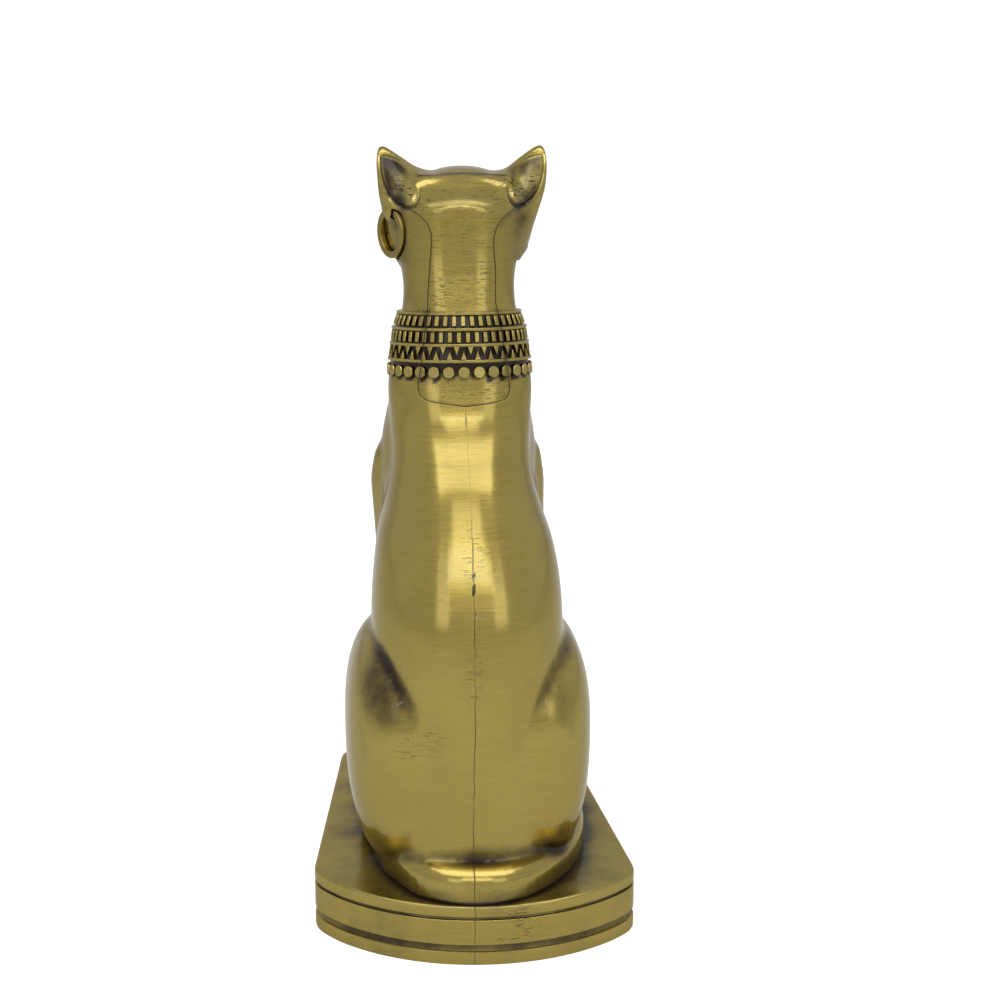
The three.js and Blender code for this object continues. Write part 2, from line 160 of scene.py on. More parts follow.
def section(u, v, half_width, half_depth, power):
    share = ((np.abs(u) / half_width) ** power + (np.abs(v) / half_depth) ** power) ** (1 / power)
    share = np.maximum(share, 1e-4)
    return np.hypot(u, v) * (1 - 1 / share)


def trunk(p):
    x, y, z = p.T
    width, back, front = (along(TRUNK, column, z) for column in (1, 2, 3))
    side = section(x, y - (back + front) / 2, width, (back - front) / 2, TRUNK_POWER)
    behind = RIDGE["y"] - y
    hollow = np.sin(np.clip(behind / RIDGE["band"], 0, 1) * np.pi)
    over_band = z - RIDGE["z"] - RIDGE["slope"] * behind + hollow + RIDGE["arch"] * x * x
    lid = cut(over_band / math.hypot(1, RIDGE["slope"]), z - RIDGE["crown"], RIDGE["crown_fillet"])
    return cut(side, lid, RIDGE["ridge_fillet"])


# %% [markdown]
# ## Ears, legs and tail
#
# An ear is a leaf with a section at each height; its bowl is hollowed out later, when the skin is
# fine enough. The forelegs stand straight under the chest. The tail follows a route round the rump,
# lying on the plinth: every short stretch of it is a limb, and a bed fills the crevice between it
# and the rump, as metal does in a casting.

# %% An ear
# height, inner edge, outer edge, half the thickness
EAR = np.array([
    [143, 9.2, 13.4, 5], [147, 9.4, 15, 4.8], [151, 9.9, 16.9, 4.3], [155, 10.3, 18.5, 3.6],
    [159, 11.3, 19.2, 2.8], [162, 13.3, 19.4, 2.1], [164.2, 15.9, 19.2, 1.4],
    [165.5, 17.8, 18.7, 0.7]])
EAR_TURN = math.radians(38)
EAR_ROOT_Y = -4.6
EAR_LEAN = 0.17
EAR_WALL = 1.3


def ear_axes(p):
    z = p[:, 2]
    inner, outer, half = (along(EAR, column, z) for column in (1, 2, 3))
    dx = p[:, 0] - (inner + outer) / 2
    dy = p[:, 1] - EAR_ROOT_Y + EAR_LEAN * (z - EAR[0, 0])
    u = dx * math.cos(EAR_TURN) + dy * math.sin(EAR_TURN)
    v = dx * math.sin(EAR_TURN) - dy * math.cos(EAR_TURN)
    return u, v, (outer - inner) / 2 / math.cos(EAR_TURN), half


def ear(p):
    u, v, width, half = ear_axes(p)
    z = p[:, 2]
    leaf = cut(section(u, v, width, half, 2.0), z - EAR[-1, 0], 0.6)
    return cut(leaf, EAR[0, 0] - z, 1.0)


# %% The tail
TAIL_ROUTE = [(15, 25), (9.5, 36.2), (0, 41.1), (-10, 38.7), (-18.9, 28.8), (-24.4, 15), (-26.4, 0),
              (-26, -14), (-22.4, -27), (-16.5, -33)]
TAIL_RADII = (4.2, 3.3)
TAIL_BED = {"reach": 9, "height": 5.0}
FAR = 50.0


def curve_through(points, count):
    ends = np.asarray(points, float)
    padded = np.vstack([2 * ends[0] - ends[1], ends, 2 * ends[-1] - ends[-2]])
    t = np.linspace(0, len(ends) - 1, count)
    i = np.minimum(t.astype(int), len(ends) - 2)
    f = (t - i)[:, None]
    a, b, c, d = (padded[i + k] for k in range(4))
    square, cube = 2 * a - 5 * b + 4 * c - d, 3 * b - a - 3 * c + d
    return 0.5 * (2 * b + (c - a) * f + square * f ** 2 + cube * f ** 3)


TAIL = curve_through(TAIL_ROUTE, 46)
TAIL_SIZE = np.linspace(*TAIL_RADII, len(TAIL))


def tail(p):
    distance = np.full(len(p), FAR)
    for a, b, ra, rb in zip(TAIL[:-1], TAIL[1:], TAIL_SIZE[:-1], TAIL_SIZE[1:]):
        lowered = p.copy()
        lowered[:, 2] = np.maximum(p[:, 2], (ra + rb) / 2)
        stretch = limb(lowered, (*a, ra), (*b, rb), ra, rb)
        distance = np.minimum(distance, stretch)
    return distance


def tail_bed(p):
    a, b = TAIL[:-1], TAIL[1:]
    run = b - a
    d = p[:, None, :2] - a
    t = np.clip((d * run).sum(2) / (run * run).sum(1), 0, 1)
    offset = d - t[:, :, None] * run
    squared = (offset * offset).sum(2)
    nearest = squared.argmin(1)
    row = np.arange(len(p))
    across = run[nearest, 0] * d[row, nearest, 1] - run[nearest, 1] * d[row, nearest, 0]
    away = np.sqrt(squared[row, nearest])
    at = t[row, nearest]
    past_end = (at <= 0) & (nearest == 0) | (at >= 1) & (nearest == len(run) - 1)
    outside = np.where(past_end, away, -np.sign(across) * away)
    return np.maximum(np.maximum(outside, away - TAIL_BED["reach"]), p[:, 2] - TAIL_BED["height"])


# %% [markdown]
# ## The whole cat
#
# Both sides are alike, so a mass given for the left side stands on both. The head sits a little to
# the cat's right and so does the rump, as in the photograph. Each mass is only asked for points
# within its own span of height, which keeps the sums quick.

# %% Forelegs, paws and hind feet
FORELEG = {"shoulder": (11.6, -12, 86), "knee": (9.6, -23.2, 44), "wrist": (9, -26.2, 9),
           "radii": (8, 6.7, 5.8)}
PAW = {"centre": (9, -35, 3.2), "radii": (6.7, 11.6, 5.4)}
HIND_FOOT = {"heel": (19.4, 0, 4.4), "ball": (18.6, -25, 3.4), "radii": (5.5, 4.8)}
TOE_COUNT, TOE_HEIGHT = 4, 2.8
FORE_TOES = {"middle_x": 9, "front": -44.6, "pitch": 3.1, "radii": (1.95, 3.3, 3.1), "bow": 0.35}
HIND_TOES = {"middle_x": 18.6, "front": -28.6, "pitch": 2.7, "radii": (1.7, 3, 2.7), "bow": 0.3}


def toes(p, middle_x, front, pitch, radii, bow):
    distance = np.full(len(p), FAR)
    for i in range(TOE_COUNT):
        across = (i - (TOE_COUNT - 1) / 2) * pitch
        middle = (middle_x + across, front + abs(across) * bow, TOE_HEIGHT)
        distance = join(distance, egg(p, middle, radii), 0.5)
    return distance


# %% The cat as a list of masses
HAUNCH = {"centre": (13.7, 9, 33), "radii": (15.2, 30, 25.6), "below": 35, "before": 28,
          "power": 2.5}
# lowest height, highest height, mass of the left side, width of its fillet
BODY = [
    (50, 125, lambda p: egg(p, (0, -9, 85), (13.5, 16.5, 20), below=23), 7),
    (60, 120, lambda p: egg(p, (10.4, -6, 94), (7.7, 11, 15), below=20), 4),
    (45, 104, lambda p: limb(p, (13.9, -7.5, 92), (14.2, -10, 62), 5.9, 6.3), 1.2),
    (-9, 70, lambda p: egg(p, **HAUNCH), 1.3)]
RUMP_SHIFT = -0.8
RUMP_END = (68, 92)
LEGS = [
    (25, 105, lambda p: limb(p, FORELEG["shoulder"], FORELEG["knee"], *FORELEG["radii"][:2]), 5),
    (-9, 60, lambda p: limb(p, FORELEG["knee"], FORELEG["wrist"], *FORELEG["radii"][1:]), 2.5),
    (-9, 20, lambda p: egg(p, PAW["centre"], PAW["radii"]), 3),
    (-9, 12, lambda p: toes(p, **FORE_TOES), 0.8),
    (-9, 16, lambda p: limb(p, HIND_FOOT["heel"], HIND_FOOT["ball"], *HIND_FOOT["radii"]), 1.5),
    (-9, 12, lambda p: toes(p, **HIND_TOES), 0.8)]
HEAD = [
    (110, 160, lambda p: limb(p, (0, -2.4, 140), (0, 0.6, 124), 11.8, 11), 4),
    (125, 165, lambda p: limb(p, (0, -12, 146), (0, -19.5, 142.4), 12, 8), 5),
    (128, 158, lambda p: egg(p, (7.9, -12.6, 142.4), (6.5, 8.6, 7.2)), 4),
    (128, 152, lambda p: egg(p, (0, -21.8, 140), (7.6, 5.6, 5.4)), 2.5),
    (130, 150, lambda p: egg(p, (3.2, -24.9, 139.8), (3.6, 2.9, 3)), 1.2),
    (128, 145, lambda p: egg(p, (0, -22.6, 135.8), (4.6, 4, 2.8)), 1.5),
    (135, 162, lambda p: limb(p, (0, -16, 152), (0, -25.6, 143.6), 4.4, 2.2), 2.5),
    (142, 160, lambda p: limb(p, (3.6, -20.2, 150.8), (11, -14.6, 152.4), 2, 1.6), 2.5),
    (138, 150, lambda p: egg(p, (0, -26.6, 143.9), (2.1, 1.5, 1.3)), 0.8)]
SKULL = {"centre": (0, -7, 147.3), "radii": (14.8, 15, 13.4), "before": 14, "power": 2.3}
LOBE = {"centre": (14.8, -1.7, 152.2), "radii": (2.1, 2.2, 2.9)}
HEAD_SHIFT = -1.2
HEAD_TURNS = (136, 160)
# heights where the sums for tail, head and ears begin or end; how far the cat sinks in its plinth
TAIL_TOP, HEAD_START, EAR_START, FOOT_DEPTH = 18, 108, 140, 1.5


# %% Both sides joined
def head_shift(z):
    return HEAD_SHIFT * step(*HEAD_TURNS, z)


def gather(distance, p, masses):
    for low, high, mass, blend in masses:
        here = (p[:, 2] > low) & (p[:, 2] < high)
        if here.any():
            distance[here] = join(distance[here], mass(p[here]), blend)
    return distance


def folded(p, shift):
    """The point's twin on the left side."""
    q = p.copy()
    q[:, 0] = np.abs(p[:, 0] - shift)
    return q


def cat(p):
    z = p[:, 2]
    body = folded(p, RUMP_SHIFT * (1 - step(*RUMP_END, z)))
    distance = gather(trunk(body), body, BODY)
    distance = gather(distance, folded(p, 0), LEGS)
    low = z < TAIL_TOP
    if low.any():
        distance[low] = join(distance[low], join(tail(p[low]), tail_bed(p[low]), 0.8), 1.8)
    high = z > HEAD_START
    if high.any():
        head = folded(p[high], head_shift(z[high]))
        skull = gather(egg(head, **SKULL), head, HEAD)
        # the fillet on the neck is wide at its sides, but the line along its back stays tight
        skull = join(distance[high], skull, 0.8 + 2.2 * step(6, 11, np.abs(head[:, 0])))
        skull = join(skull, np.where(head[:, 2] > EAR_START, ear(head), FAR), 6.5)
        distance[high] = join(skull, egg(p[high], **LOBE), 2.4)
    return cut(distance, -FOOT_DEPTH - z, 0.4)


def distance_and_slope(field, p, reach=0.02):
    """The field's value and its gradient, by differences."""
    here = field(p)
    slope = [(field(p + reach * np.eye(3)[axis]) - here) / reach for axis in range(3)]
    return here, np.stack(slope, 1)


print("distance at the middle of the rump:", cat(np.array([[0.0, 10.0, 40.0]])).round(1))

# %% [markdown]
# ## Blocking out
#
# Bmesh primitives stand in for the masses, a little fatter than the cat: lofted rings for the trunk
# and the ears, balls and cones for the rest. They overlap freely. A voxel remesh then melts them
# into one closed skin of even quads, which only has to be near the cat, because the next step draws
# it in.

# %% Helpers for rings, balls and cones
def ball(work, centre, radii, fat=0.0):
    size = Matrix.Diagonal((*(r + fat for r in radii), 1))
    bmesh.ops.create_uvsphere(work, u_segments=24, v_segments=14, radius=1,
                              matrix=Matrix.Translation(centre) @ size)


def cone(work, start, end, start_radius, end_radius, fat=0.0):
    start, end = Vector(start), Vector(end)
    turn = (end - start).to_track_quat("Z", "Y").to_matrix().to_4x4()
    place = Matrix.Translation((start + end) / 2) @ turn
    bmesh.ops.create_cone(work, cap_ends=True, cap_tris=False, segments=24,
                          radius1=start_radius + fat, radius2=end_radius + fat,
                          depth=(end - start).length, matrix=place)
    ball(work, start, (start_radius,) * 3, fat)
    ball(work, end, (end_radius,) * 3, fat)


def loft(work, rings):
    """Extrudes one ring from station to station, each a list of points, and closes both ends."""
    made = bmesh.ops.create_circle(work, cap_ends=True, segments=len(rings[0]), radius=1)
    ring = made["verts"]
    for vert, place in zip(ring, rings[0]):
        vert.co = place
    edges = list({edge for vert in ring for edge in vert.link_edges})
    for places in rings[1:]:
        grown = bmesh.ops.extrude_edge_only(work, edges=edges)["geom"]
        edges = [item for item in grown if isinstance(item, bmesh.types.BMEdge)
                 and len(item.link_faces) == 1]
        verts = {vert for edge in edges for vert in edge.verts}
        partner = {}
        for vert in verts:
            others = (edge.other_vert(vert) for edge in vert.link_edges)
            partner[next(other for other in others if other not in verts)] = vert
        ring = [partner[vert] for vert in ring]
        for vert, place in zip(ring, places):
            vert.co = place
    bmesh.ops.contextual_create(work, geom=edges)


def ellipse(z, x, y, across, half_width, half_depth, count=28):
    angles = np.linspace(0, 2 * math.pi, count, endpoint=False)[:, None]
    side = np.array([math.cos(across), math.sin(across)])
    forward = np.array([math.sin(across), -math.cos(across)])
    flat = np.cos(angles) * side * half_width + np.sin(angles) * forward * half_depth
    return [(x + dx, y + dy, z) for dx, dy in flat]


# %% The block
# middle line: centre, radii, fat; and start, end, two radii, fat
MIDDLE_BALLS = [((0, -9, 87), (13.5, 16.5, 23), 1),
                ((HEAD_SHIFT, -6.5, 147.3), (15.4, 16, 13.4), 0)]
MIDDLE_CONES = [((HEAD_SHIFT, -12, 145), (HEAD_SHIFT, -19.5, 141.5), 12, 8, 1),
                ((HEAD_SHIFT, -16, 152), (HEAD_SHIFT, -26, 143), 4.4, 2.4, 0.6)]
# the same for the left side, which is repeated on the right
SIDE_BALLS = [((10.7, -5, 91), (7.7, 12, 17), 0), ((13.7, 9.5, 31), (15.4, 29.5, 29), 0.4),
              (PAW["centre"], PAW["radii"], 0), ((9, -43, 3), (6, 4.6, 3.4), 0),
              ((18.6, -28, 3), (5.4, 3.6, 3), 0)]
SIDE_CONES = [((12.2, -7, 86), (13.1, -9, 60), 6, 6.4, 0),
              (FORELEG["shoulder"], FORELEG["knee"], *FORELEG["radii"][:2], 0),
              (FORELEG["knee"], FORELEG["wrist"], *FORELEG["radii"][1:], 0),
              (HIND_FOOT["heel"], HIND_FOOT["ball"], *HIND_FOOT["radii"], 0)]
FAT, EAR_FAT = 0.5, 0.6


def stations(table, heights):
    """Each height with the three values that a table gives there."""
    for z in heights:
        yield z, *(float(along(table, column, np.array([z]))[0]) for column in (1, 2, 3))


def block_ear(side):
    for z, inner, outer, half in stations(EAR, np.linspace(141, 165.7, 14)):
        middle = EAR_ROOT_Y - EAR_LEAN * (z - EAR[0, 0])
        leaf = ellipse(z, (inner + outer) / 2, middle, EAR_TURN, (outer - inner) / 1.5 + FAT,
                       half + EAR_FAT)
        yield [(side * x + HEAD_SHIFT, y, z) for x, y, z in leaf]


def block_out():
    work = bmesh.new()
    loft(work, [ellipse(z, 0, (back + front) / 2, 0, width + FAT, (back - front) / 2 + FAT)
                for z, width, back, front in stations(TRUNK, np.linspace(-3, 158, 30))])
    for side, balls, cones in ((1, MIDDLE_BALLS, MIDDLE_CONES), (1, SIDE_BALLS, SIDE_CONES),
                               (-1, SIDE_BALLS, SIDE_CONES)):
        for (x, *rest), radii, fat in balls:
            ball(work, (side * x, *rest), radii, fat)
        for (x, *rest), (end_x, *end_rest), *sizes in cones:
            cone(work, (side * x, *rest), (side * end_x, *end_rest), *sizes)
    for side in (1, -1):
        loft(work, list(block_ear(side)))
    ball(work, **LOBE)
    for a, b, ra, rb in zip(TAIL[:-3:3], TAIL[3::3], TAIL_SIZE[:-3:3], TAIL_SIZE[3::3]):
        for start_z, end_z in ((ra, rb), (-1, -1)):
            cone(work, (*a, start_z), (*b, end_z), ra, rb)
    bmesh.ops.recalc_face_normals(work, faces=work.faces)
    return work


def to_object(work, name):
    mesh = bpy.data.meshes.new(name)
    work.to_mesh(mesh)
    work.free()
    made = bpy.data.objects.new(name, mesh)
    bpy.context.scene.collection.objects.link(made)
    return made


def apply_modifiers(thing):
    """Bakes the modifiers into the mesh."""
    evaluated = thing.evaluated_get(bpy.context.evaluated_depsgraph_get())
    mesh = bpy.data.meshes.new_from_object(evaluated)
    thing.modifiers.clear()
    old = thing.data
    thing.data = mesh
    bpy.data.meshes.remove(old)
    return thing


VOXEL = 1.4
figure = to_object(block_out(), "cat_casting")
melt = figure.modifiers.new("melt", "REMESH")
melt.mode, melt.voxel_size, melt.adaptivity = "VOXEL", VOXEL, 0
apply_modifiers(figure)
print("block after the remesh:", len(figure.data.polygons), "faces")

# %% [markdown]
# ## Drawing the skin in
#
# Every vertex is moved along the field's slope until its distance is nought. Between two rounds the
# skin is relaxed, so that its quads stay even. Head, paws and tail are then divided once more, and
# the face and the backs of the ears twice, because their carving is finer than a millimetre.

# %% Draw-in and relax
def read_points(mesh):
    flat = np.empty(len(mesh.vertices) * 3)
    mesh.vertices.foreach_get("co", flat)
    return flat.reshape(-1, 3)


def write_points(mesh, points):
    mesh.vertices.foreach_set("co", np.asarray(points, float).ravel())
    mesh.update()


def draw_in(points, field, rounds=3, longest=1.5):
    for _ in range(rounds):
        distance, slope = distance_and_slope(field, points)
        move = (distance / np.maximum((slope * slope).sum(1), 0.05))[:, None] * slope
        length = np.linalg.norm(move, axis=1, keepdims=True)
        points = points - move * np.minimum(1, longest / np.maximum(length, 1e-9))
    return points


def relax(thing, rounds, factor=0.5, wanted=None):
    """Smooths every vertex, or those that `wanted` picks by place and normal."""
    work = bmesh.new()
    work.from_mesh(thing.data)
    verts = list(work.verts)
    if wanted:
        places, normals = zip(*((vert.co, vert.normal) for vert in verts))
        picked = wanted(np.array(places), np.array(normals))
        verts = [vert for vert, take in zip(verts, picked) if take]
    for _ in range(rounds):
        bmesh.ops.smooth_vert(work, verts=verts, factor=factor,
                              use_axis_x=True, use_axis_y=True, use_axis_z=True)
    work.to_mesh(thing.data)
    work.free()
    return len(verts)


def divide(thing, wanted):
    """Divides the faces whose middle `wanted` picks."""
    work = bmesh.new()
    work.from_mesh(thing.data)
    picked = wanted(np.array([face.calc_center_median() for face in work.faces]))
    faces = [face for face, take in zip(work.faces, picked) if take]
    edges = list({edge for face in faces for edge in face.edges})
    bmesh.ops.subdivide_edges(work, edges=edges, cuts=1, use_grid_fill=True)
    work.to_mesh(thing.data)
    work.free()
    return len(faces)


def head_and_feet(p):
    z = p[:, 2]
    return (z > 129) | (z < 10) & (z > -1)


def face_ears_and_crown(p):
    x, y, z = p.T
    face = (y < -15) & (z > 133) & (z < 154)
    ears = (np.abs(x - HEAD_SHIFT) > 9.3) & (z > 149)
    crown = (np.abs(y - 0.2) < 1.8) & (z > 156)
    return face | ears | crown


for rounds in (2, 1):
    write_points(figure.data, draw_in(read_points(figure.data), cat))
    relax(figure, rounds)
write_points(figure.data, draw_in(read_points(figure.data), cat, 2))
print("divided once:", divide(figure, head_and_feet))
for rounds in (2, 1):
    relax(figure, rounds, 0.4)
    write_points(figure.data, draw_in(read_points(figure.data), cat, 2))
print("divided twice:", divide(figure, face_ears_and_crown))
relax(figure, 1, 0.4)
write_points(figure.data, draw_in(read_points(figure.data), cat, 3))
left_over = np.abs(cat(read_points(figure.data)))
print("skin:", len(figure.data.vertices), "points, furthest off by", left_over.max().round(3), "mm")

# %% [markdown]
# ## Carving
#
# A sculptor cuts eyes, mouth and the leaf on the back of each ear with small tools once the masses
# stand. Here every vertex is pushed out or in along the surface by a height that is drawn on the
# plane of the front view, in millimetres: a line is a groove, an outline is a raised leaf. The
# photograph shows only the cat's back, so the face is a plain one that any seated cat could have.

# %% Lines and outlines on a flat drawing
def near_line(x, z, route):
    best = np.full(len(x), FAR)
    for (ax, az), (bx, bz) in zip(route[:-1], route[1:]):
        run_x, run_z = bx - ax, bz - az
        t = np.clip(((x - ax) * run_x + (z - az) * run_z) / (run_x ** 2 + run_z ** 2 + 1e-9), 0, 1)
        best = np.minimum(best, np.hypot(x - ax - t * run_x, z - az - t * run_z))
    return best


def signed(x, z, outline):
    """Distance to a closed outline, less than nought inside it."""
    closed = [*outline, outline[0]]
    within = np.zeros(len(x), bool)
    for (ax, az), (bx, bz) in zip(closed[:-1], closed[1:]):
        crossing = ax + (z - az) / (bz - az + 1e-9) * (bx - ax)
        within ^= ((az > z) != (bz > z)) & (x < crossing)
    away = near_line(x, z, closed)
    return np.where(within, -away, away)


def groove(distance, half_width, depth):
    return -depth * np.exp(-(distance / half_width) ** 2)


# %% Face, ear leaves and the step at the crown
PETAL_CORNERS = [(12.9, 153.2), (11.5, 154), (10.8, 156), (11.2, 158.3), (12.9, 160.6),
                 (15.3, 162.6), (18.1, 163.5), (18.5, 162.4), (18.2, 159.5), (17.3, 156.8),
                 (15.9, 154.8), (14.4, 153.5)]
PETAL = [tuple(point) for point in curve_through([*PETAL_CORNERS, PETAL_CORNERS[0]], 48)[:-1]]
EYE = {"place": (6.2, 147.4), "half_length": 3.3, "half_height": 1.7, "tilt": math.radians(14)}
MOUTH = [(0, 142.2), (0, 138.3), (2.2, 137), (4.8, 137.2), (6.8, 138.5)]
NOSTRIL = (1.15, 143.3)
# the roots of the whiskers: the first, the step along a row, the step down to the next row
WHISKERS = {"x": 3, "z": 140.6, "aside": 1.3, "up": 0.25, "down": 1.2, "count": 3, "rows": 2}


def face_height(across, y, z):
    right, up = across - EYE["place"][0], z - EYE["place"][1]
    cosine, sine = math.cos(EYE["tilt"]), math.sin(EYE["tilt"])
    u, w = right * cosine + up * sine, up * cosine - right * sine
    taper = 1 - (u / EYE["half_length"]) ** 2
    lid = np.abs(w) - EYE["half_height"] * taper
    dome = np.clip(taper, 0, 1) * np.clip(1 - (w / EYE["half_height"]) ** 2, 0, 1)
    rim = 0.32 * np.exp(-((lid - 0.5) / 0.4) ** 2)
    eye = rim + groove(lid + 0.1, 0.4, 0.36) + 0.45 * step(0.1, -0.3, lid) * dome
    brow = 0.25 * np.exp(-((lid - 2) / 0.5) ** 2) * step(0, 1, w) * step(5.4, 3.6, np.abs(u))
    mouth = groove(near_line(across, z, MOUTH), 0.45, 0.5)
    nostril = groove(np.hypot(across - NOSTRIL[0], z - NOSTRIL[1]), 0.5, 0.4)
    whiskers = 0
    for i in range(WHISKERS["count"]):
        for row in range(WHISKERS["rows"]):
            from_root = np.hypot(across - WHISKERS["x"] - i * WHISKERS["aside"],
                                 z - WHISKERS["z"] + row * WHISKERS["down"] - i * WHISKERS["up"])
            whiskers = whiskers + groove(from_root, 0.32, 0.2)
    # each feature is kept to the part of the face that looks forward there
    return ((eye + brow) * step(-14, -17, y) + mouth * step(-18, -20.5, y)
            + nostril * step(-24, -25, y) + whiskers * step(-19, -21, y))


# from the flank down towards the spine: the left haunch's edge, then the right one's
HAUNCH_CREASES = [[(25, 58.5), (22.1, 56.3), (18.9, 53.6), (16.6, 50), (13.9, 45.8), (12.2, 42)],
                  [(-26.4, 55), (-23.6, 54), (-19.8, 51), (-17, 47), (-14.4, 43.6), (-12.8, 40)]]


def haunch_crease(p):
    """Distance to the nearer crease, and how much of it shows; both fade towards the spine."""
    x, y, z = p.T
    away = np.minimum(*(near_line(x, z, route) for route in HAUNCH_CREASES))
    return away, step(9.5, 17, np.abs(x)) * step(2, 10, y)


def carved_height(p, facing):
    x, y, z = p.T
    across = np.abs(x - head_shift(z))
    petal = signed(across, z, PETAL)
    # the leaf's step and groove melt into the ear on its inner side, towards the tip
    melts = 1 - step(155, 158, z) * step(15.5, 13, across)
    rim = 0.5 * step(0.35, -0.25, petal) + groove(petal - 0.5, 0.32, 0.3)
    leaf = rim * melts + 0.3 * step(-0.2, -2.5, petal)
    leaf = leaf * step(-0.1, 0.25, facing[:, 1]) * step(149, 151, z) * step(7.5, 9, across)
    crown = 0.22 * step(-0.3, 0.3, y) * step(3, 1.2, y) + groove(y + 0.2, 0.35, 0.2)
    crown = crown * step(156.5, 158, z) * step(12, 10, np.abs(x + 0.9))
    away, share = haunch_crease(p)
    crease = groove(away, 1.6, 0.2) * share
    return np.where(y < -12, face_height(across, y, z), 0) + leaf + crown + crease


# %% The bowls of the ears
def bowl_move(p):
    head = folded(p, head_shift(p[:, 2]))
    u, v, width, half = ear_axes(head)
    z = head[:, 2]
    share = np.abs(u) / width
    floor = EAR_WALL - half * np.sqrt(np.clip(1 - share ** 2, 0, 1))
    here = step(0.9, 0.6, share) * step(149.5, 153, z) * step(164.8, 162.8, z)
    here = here * step(0.0, 0.5, v / half) * step(1.7, 1.2, v / half)
    depth = np.maximum(v - floor, 0) * here
    side = np.sign(p[:, 0] - HEAD_SHIFT)
    return np.stack([-side * math.sin(EAR_TURN) * depth, math.cos(EAR_TURN) * depth, 0 * depth], 1)


def leaf_backs(p, normals):
    leaf = signed(np.abs(p[:, 0] - HEAD_SHIFT), p[:, 2], PETAL) < -0.1
    return leaf & (p[:, 1] > -9) & (p[:, 2] > 150) & (normals[:, 1] > -0.2)


# %% Cutting
points = read_points(figure.data)
_, facing = distance_and_slope(cat, points)
facing /= np.linalg.norm(facing, axis=1, keepdims=True)
# the skin inside each leaf is relaxed until it is one taut panel
print("points in the ears' leaves:", relax(figure, 12, wanted=leaf_backs))
points = read_points(figure.data)
points = points + bowl_move(points) + facing * carved_height(points, facing)[:, None]
write_points(figure.data, points)
print("carved; highest point:", points[:, 2].max().round(2), "mm")

# %% [markdown]
# ## The collar
#
# Four thin rings hold two rows of upright beads, one row of triangles and a fringe of discs. In the
# casting they stand out from a dark floor. The rings and the floor are turned on a lathe, so a
# section is spun. One bead of each kind is modelled once and copied round, as a founder would press
# one stamp again and again. The whole collar leans back by six and a half degrees.

# %% Turning and stamping
COLLAR = {"middle": Vector((0, 0.7, 124.9)), "tilt": math.radians(6.5)}
# height and radius, from the neck down
RINGS = [(128.4, 14.5), (124.9, 15.7), (121.4, 16.2), (117.8, 16.7)]
RING_HALF, RING_CORNER, RING_ROOT = 0.34, 0.14, 1.5
FLOOR_DEPTH = 0.8
# the fringe of discs, with their height and the radius at which they stand
DISCS, DISC_RADIUS, DISC_PLACE = 30, 1.34, (115.35, 16.4)
LATHE_STEPS = 96
collar_place = (Matrix.Translation(COLLAR["middle"]) @ Matrix.Rotation(COLLAR["tilt"], 4, "X")
                @ Matrix.Translation((0, 0, -COLLAR["middle"].z)))


def turn_on_lathe(work, section, steps):
    """Spins a closed section of (radius, height) once round the Z axis."""
    verts = [work.verts.new((radius, 0, height)) for radius, height in section]
    edges = [work.edges.new((a, b)) for a, b in zip(verts, verts[1:] + verts[:1])]
    bmesh.ops.spin(work, geom=verts + edges, cent=(0, 0, 0), axis=(0, 0, 1), angle=2 * math.pi,
                   steps=steps, use_merge=True)


def stamp(work, pattern, places):
    """Copies a small mesh to every place."""
    for place in places:
        before = len(work.verts)
        work.from_mesh(pattern)
        work.verts.ensure_lookup_table()
        bmesh.ops.transform(work, matrix=place, verts=work.verts[before:])


def pattern_mesh(name, work, soften):
    bmesh.ops.bevel(work, geom=work.edges, offset=soften, offset_type="OFFSET", segments=1,
                    profile=0.5, affect="EDGES", material=-1)
    mesh = bpy.data.meshes.new(name)
    work.to_mesh(mesh)
    work.free()
    return mesh


# %% A bead, a triangle and a disc
# each lies with its thickness along X, its width along Y and its height along Z
upright = Matrix.Rotation(math.pi / 2, 4, "Y")
work = bmesh.new()
bmesh.ops.create_cube(work, size=1, matrix=Matrix.Diagonal((0.9, 1.0, 2.35, 1)))
bead = pattern_mesh("bead", work, 0.12)
work = bmesh.new()
slim = Matrix.Diagonal((1, 0.7, 1.18, 1)) @ Matrix.Rotation(math.pi / 2, 4, "X")
bmesh.ops.create_cone(work, cap_ends=True, segments=3, radius1=1.15, radius2=1.15, depth=0.9,
                      matrix=slim @ upright)
triangle = pattern_mesh("triangle", work, 0.1)
work = bmesh.new()
bmesh.ops.create_cone(work, cap_ends=True, segments=18, radius1=DISC_RADIUS, radius2=DISC_RADIUS,
                      depth=0.95, matrix=upright)
disc = pattern_mesh("disc", work, 0.1)
ends = [round(end(v.co.z for v in triangle.vertices), 2) for end in (min, max)]
print("triangle from", ends[0], "to", ends[1], "mm about its centre")


# %% Places round the neck
# how far the middle of a stamp stands outside the floor
PROUD = 0.17


def round_the_neck(count, high, low, share=0.5, offset=0.0, upside_down=False):
    """Places between two (height, radius) pairs of the floor, from the middle of the back on."""
    up = Vector((high[1] - low[1], 0, high[0] - low[0])).normalized()
    out = Vector((up.z, 0, -up.x))
    on_floor = Vector((low[1] + (high[1] - low[1]) * share, 0, low[0] + (high[0] - low[0]) * share))
    lean = Matrix((out, Vector((0, 1, 0)), up)).transposed().to_4x4()
    flip = Matrix.Rotation(math.pi if upside_down else 0, 4, "X")
    stand = Matrix.Translation(on_floor + out * PROUD) @ lean @ flip
    angles = (math.pi / 2 + 2 * math.pi * (i + offset) / count for i in range(count))
    return [Matrix.Rotation(angle, 4, "Z") @ stand for angle in angles]


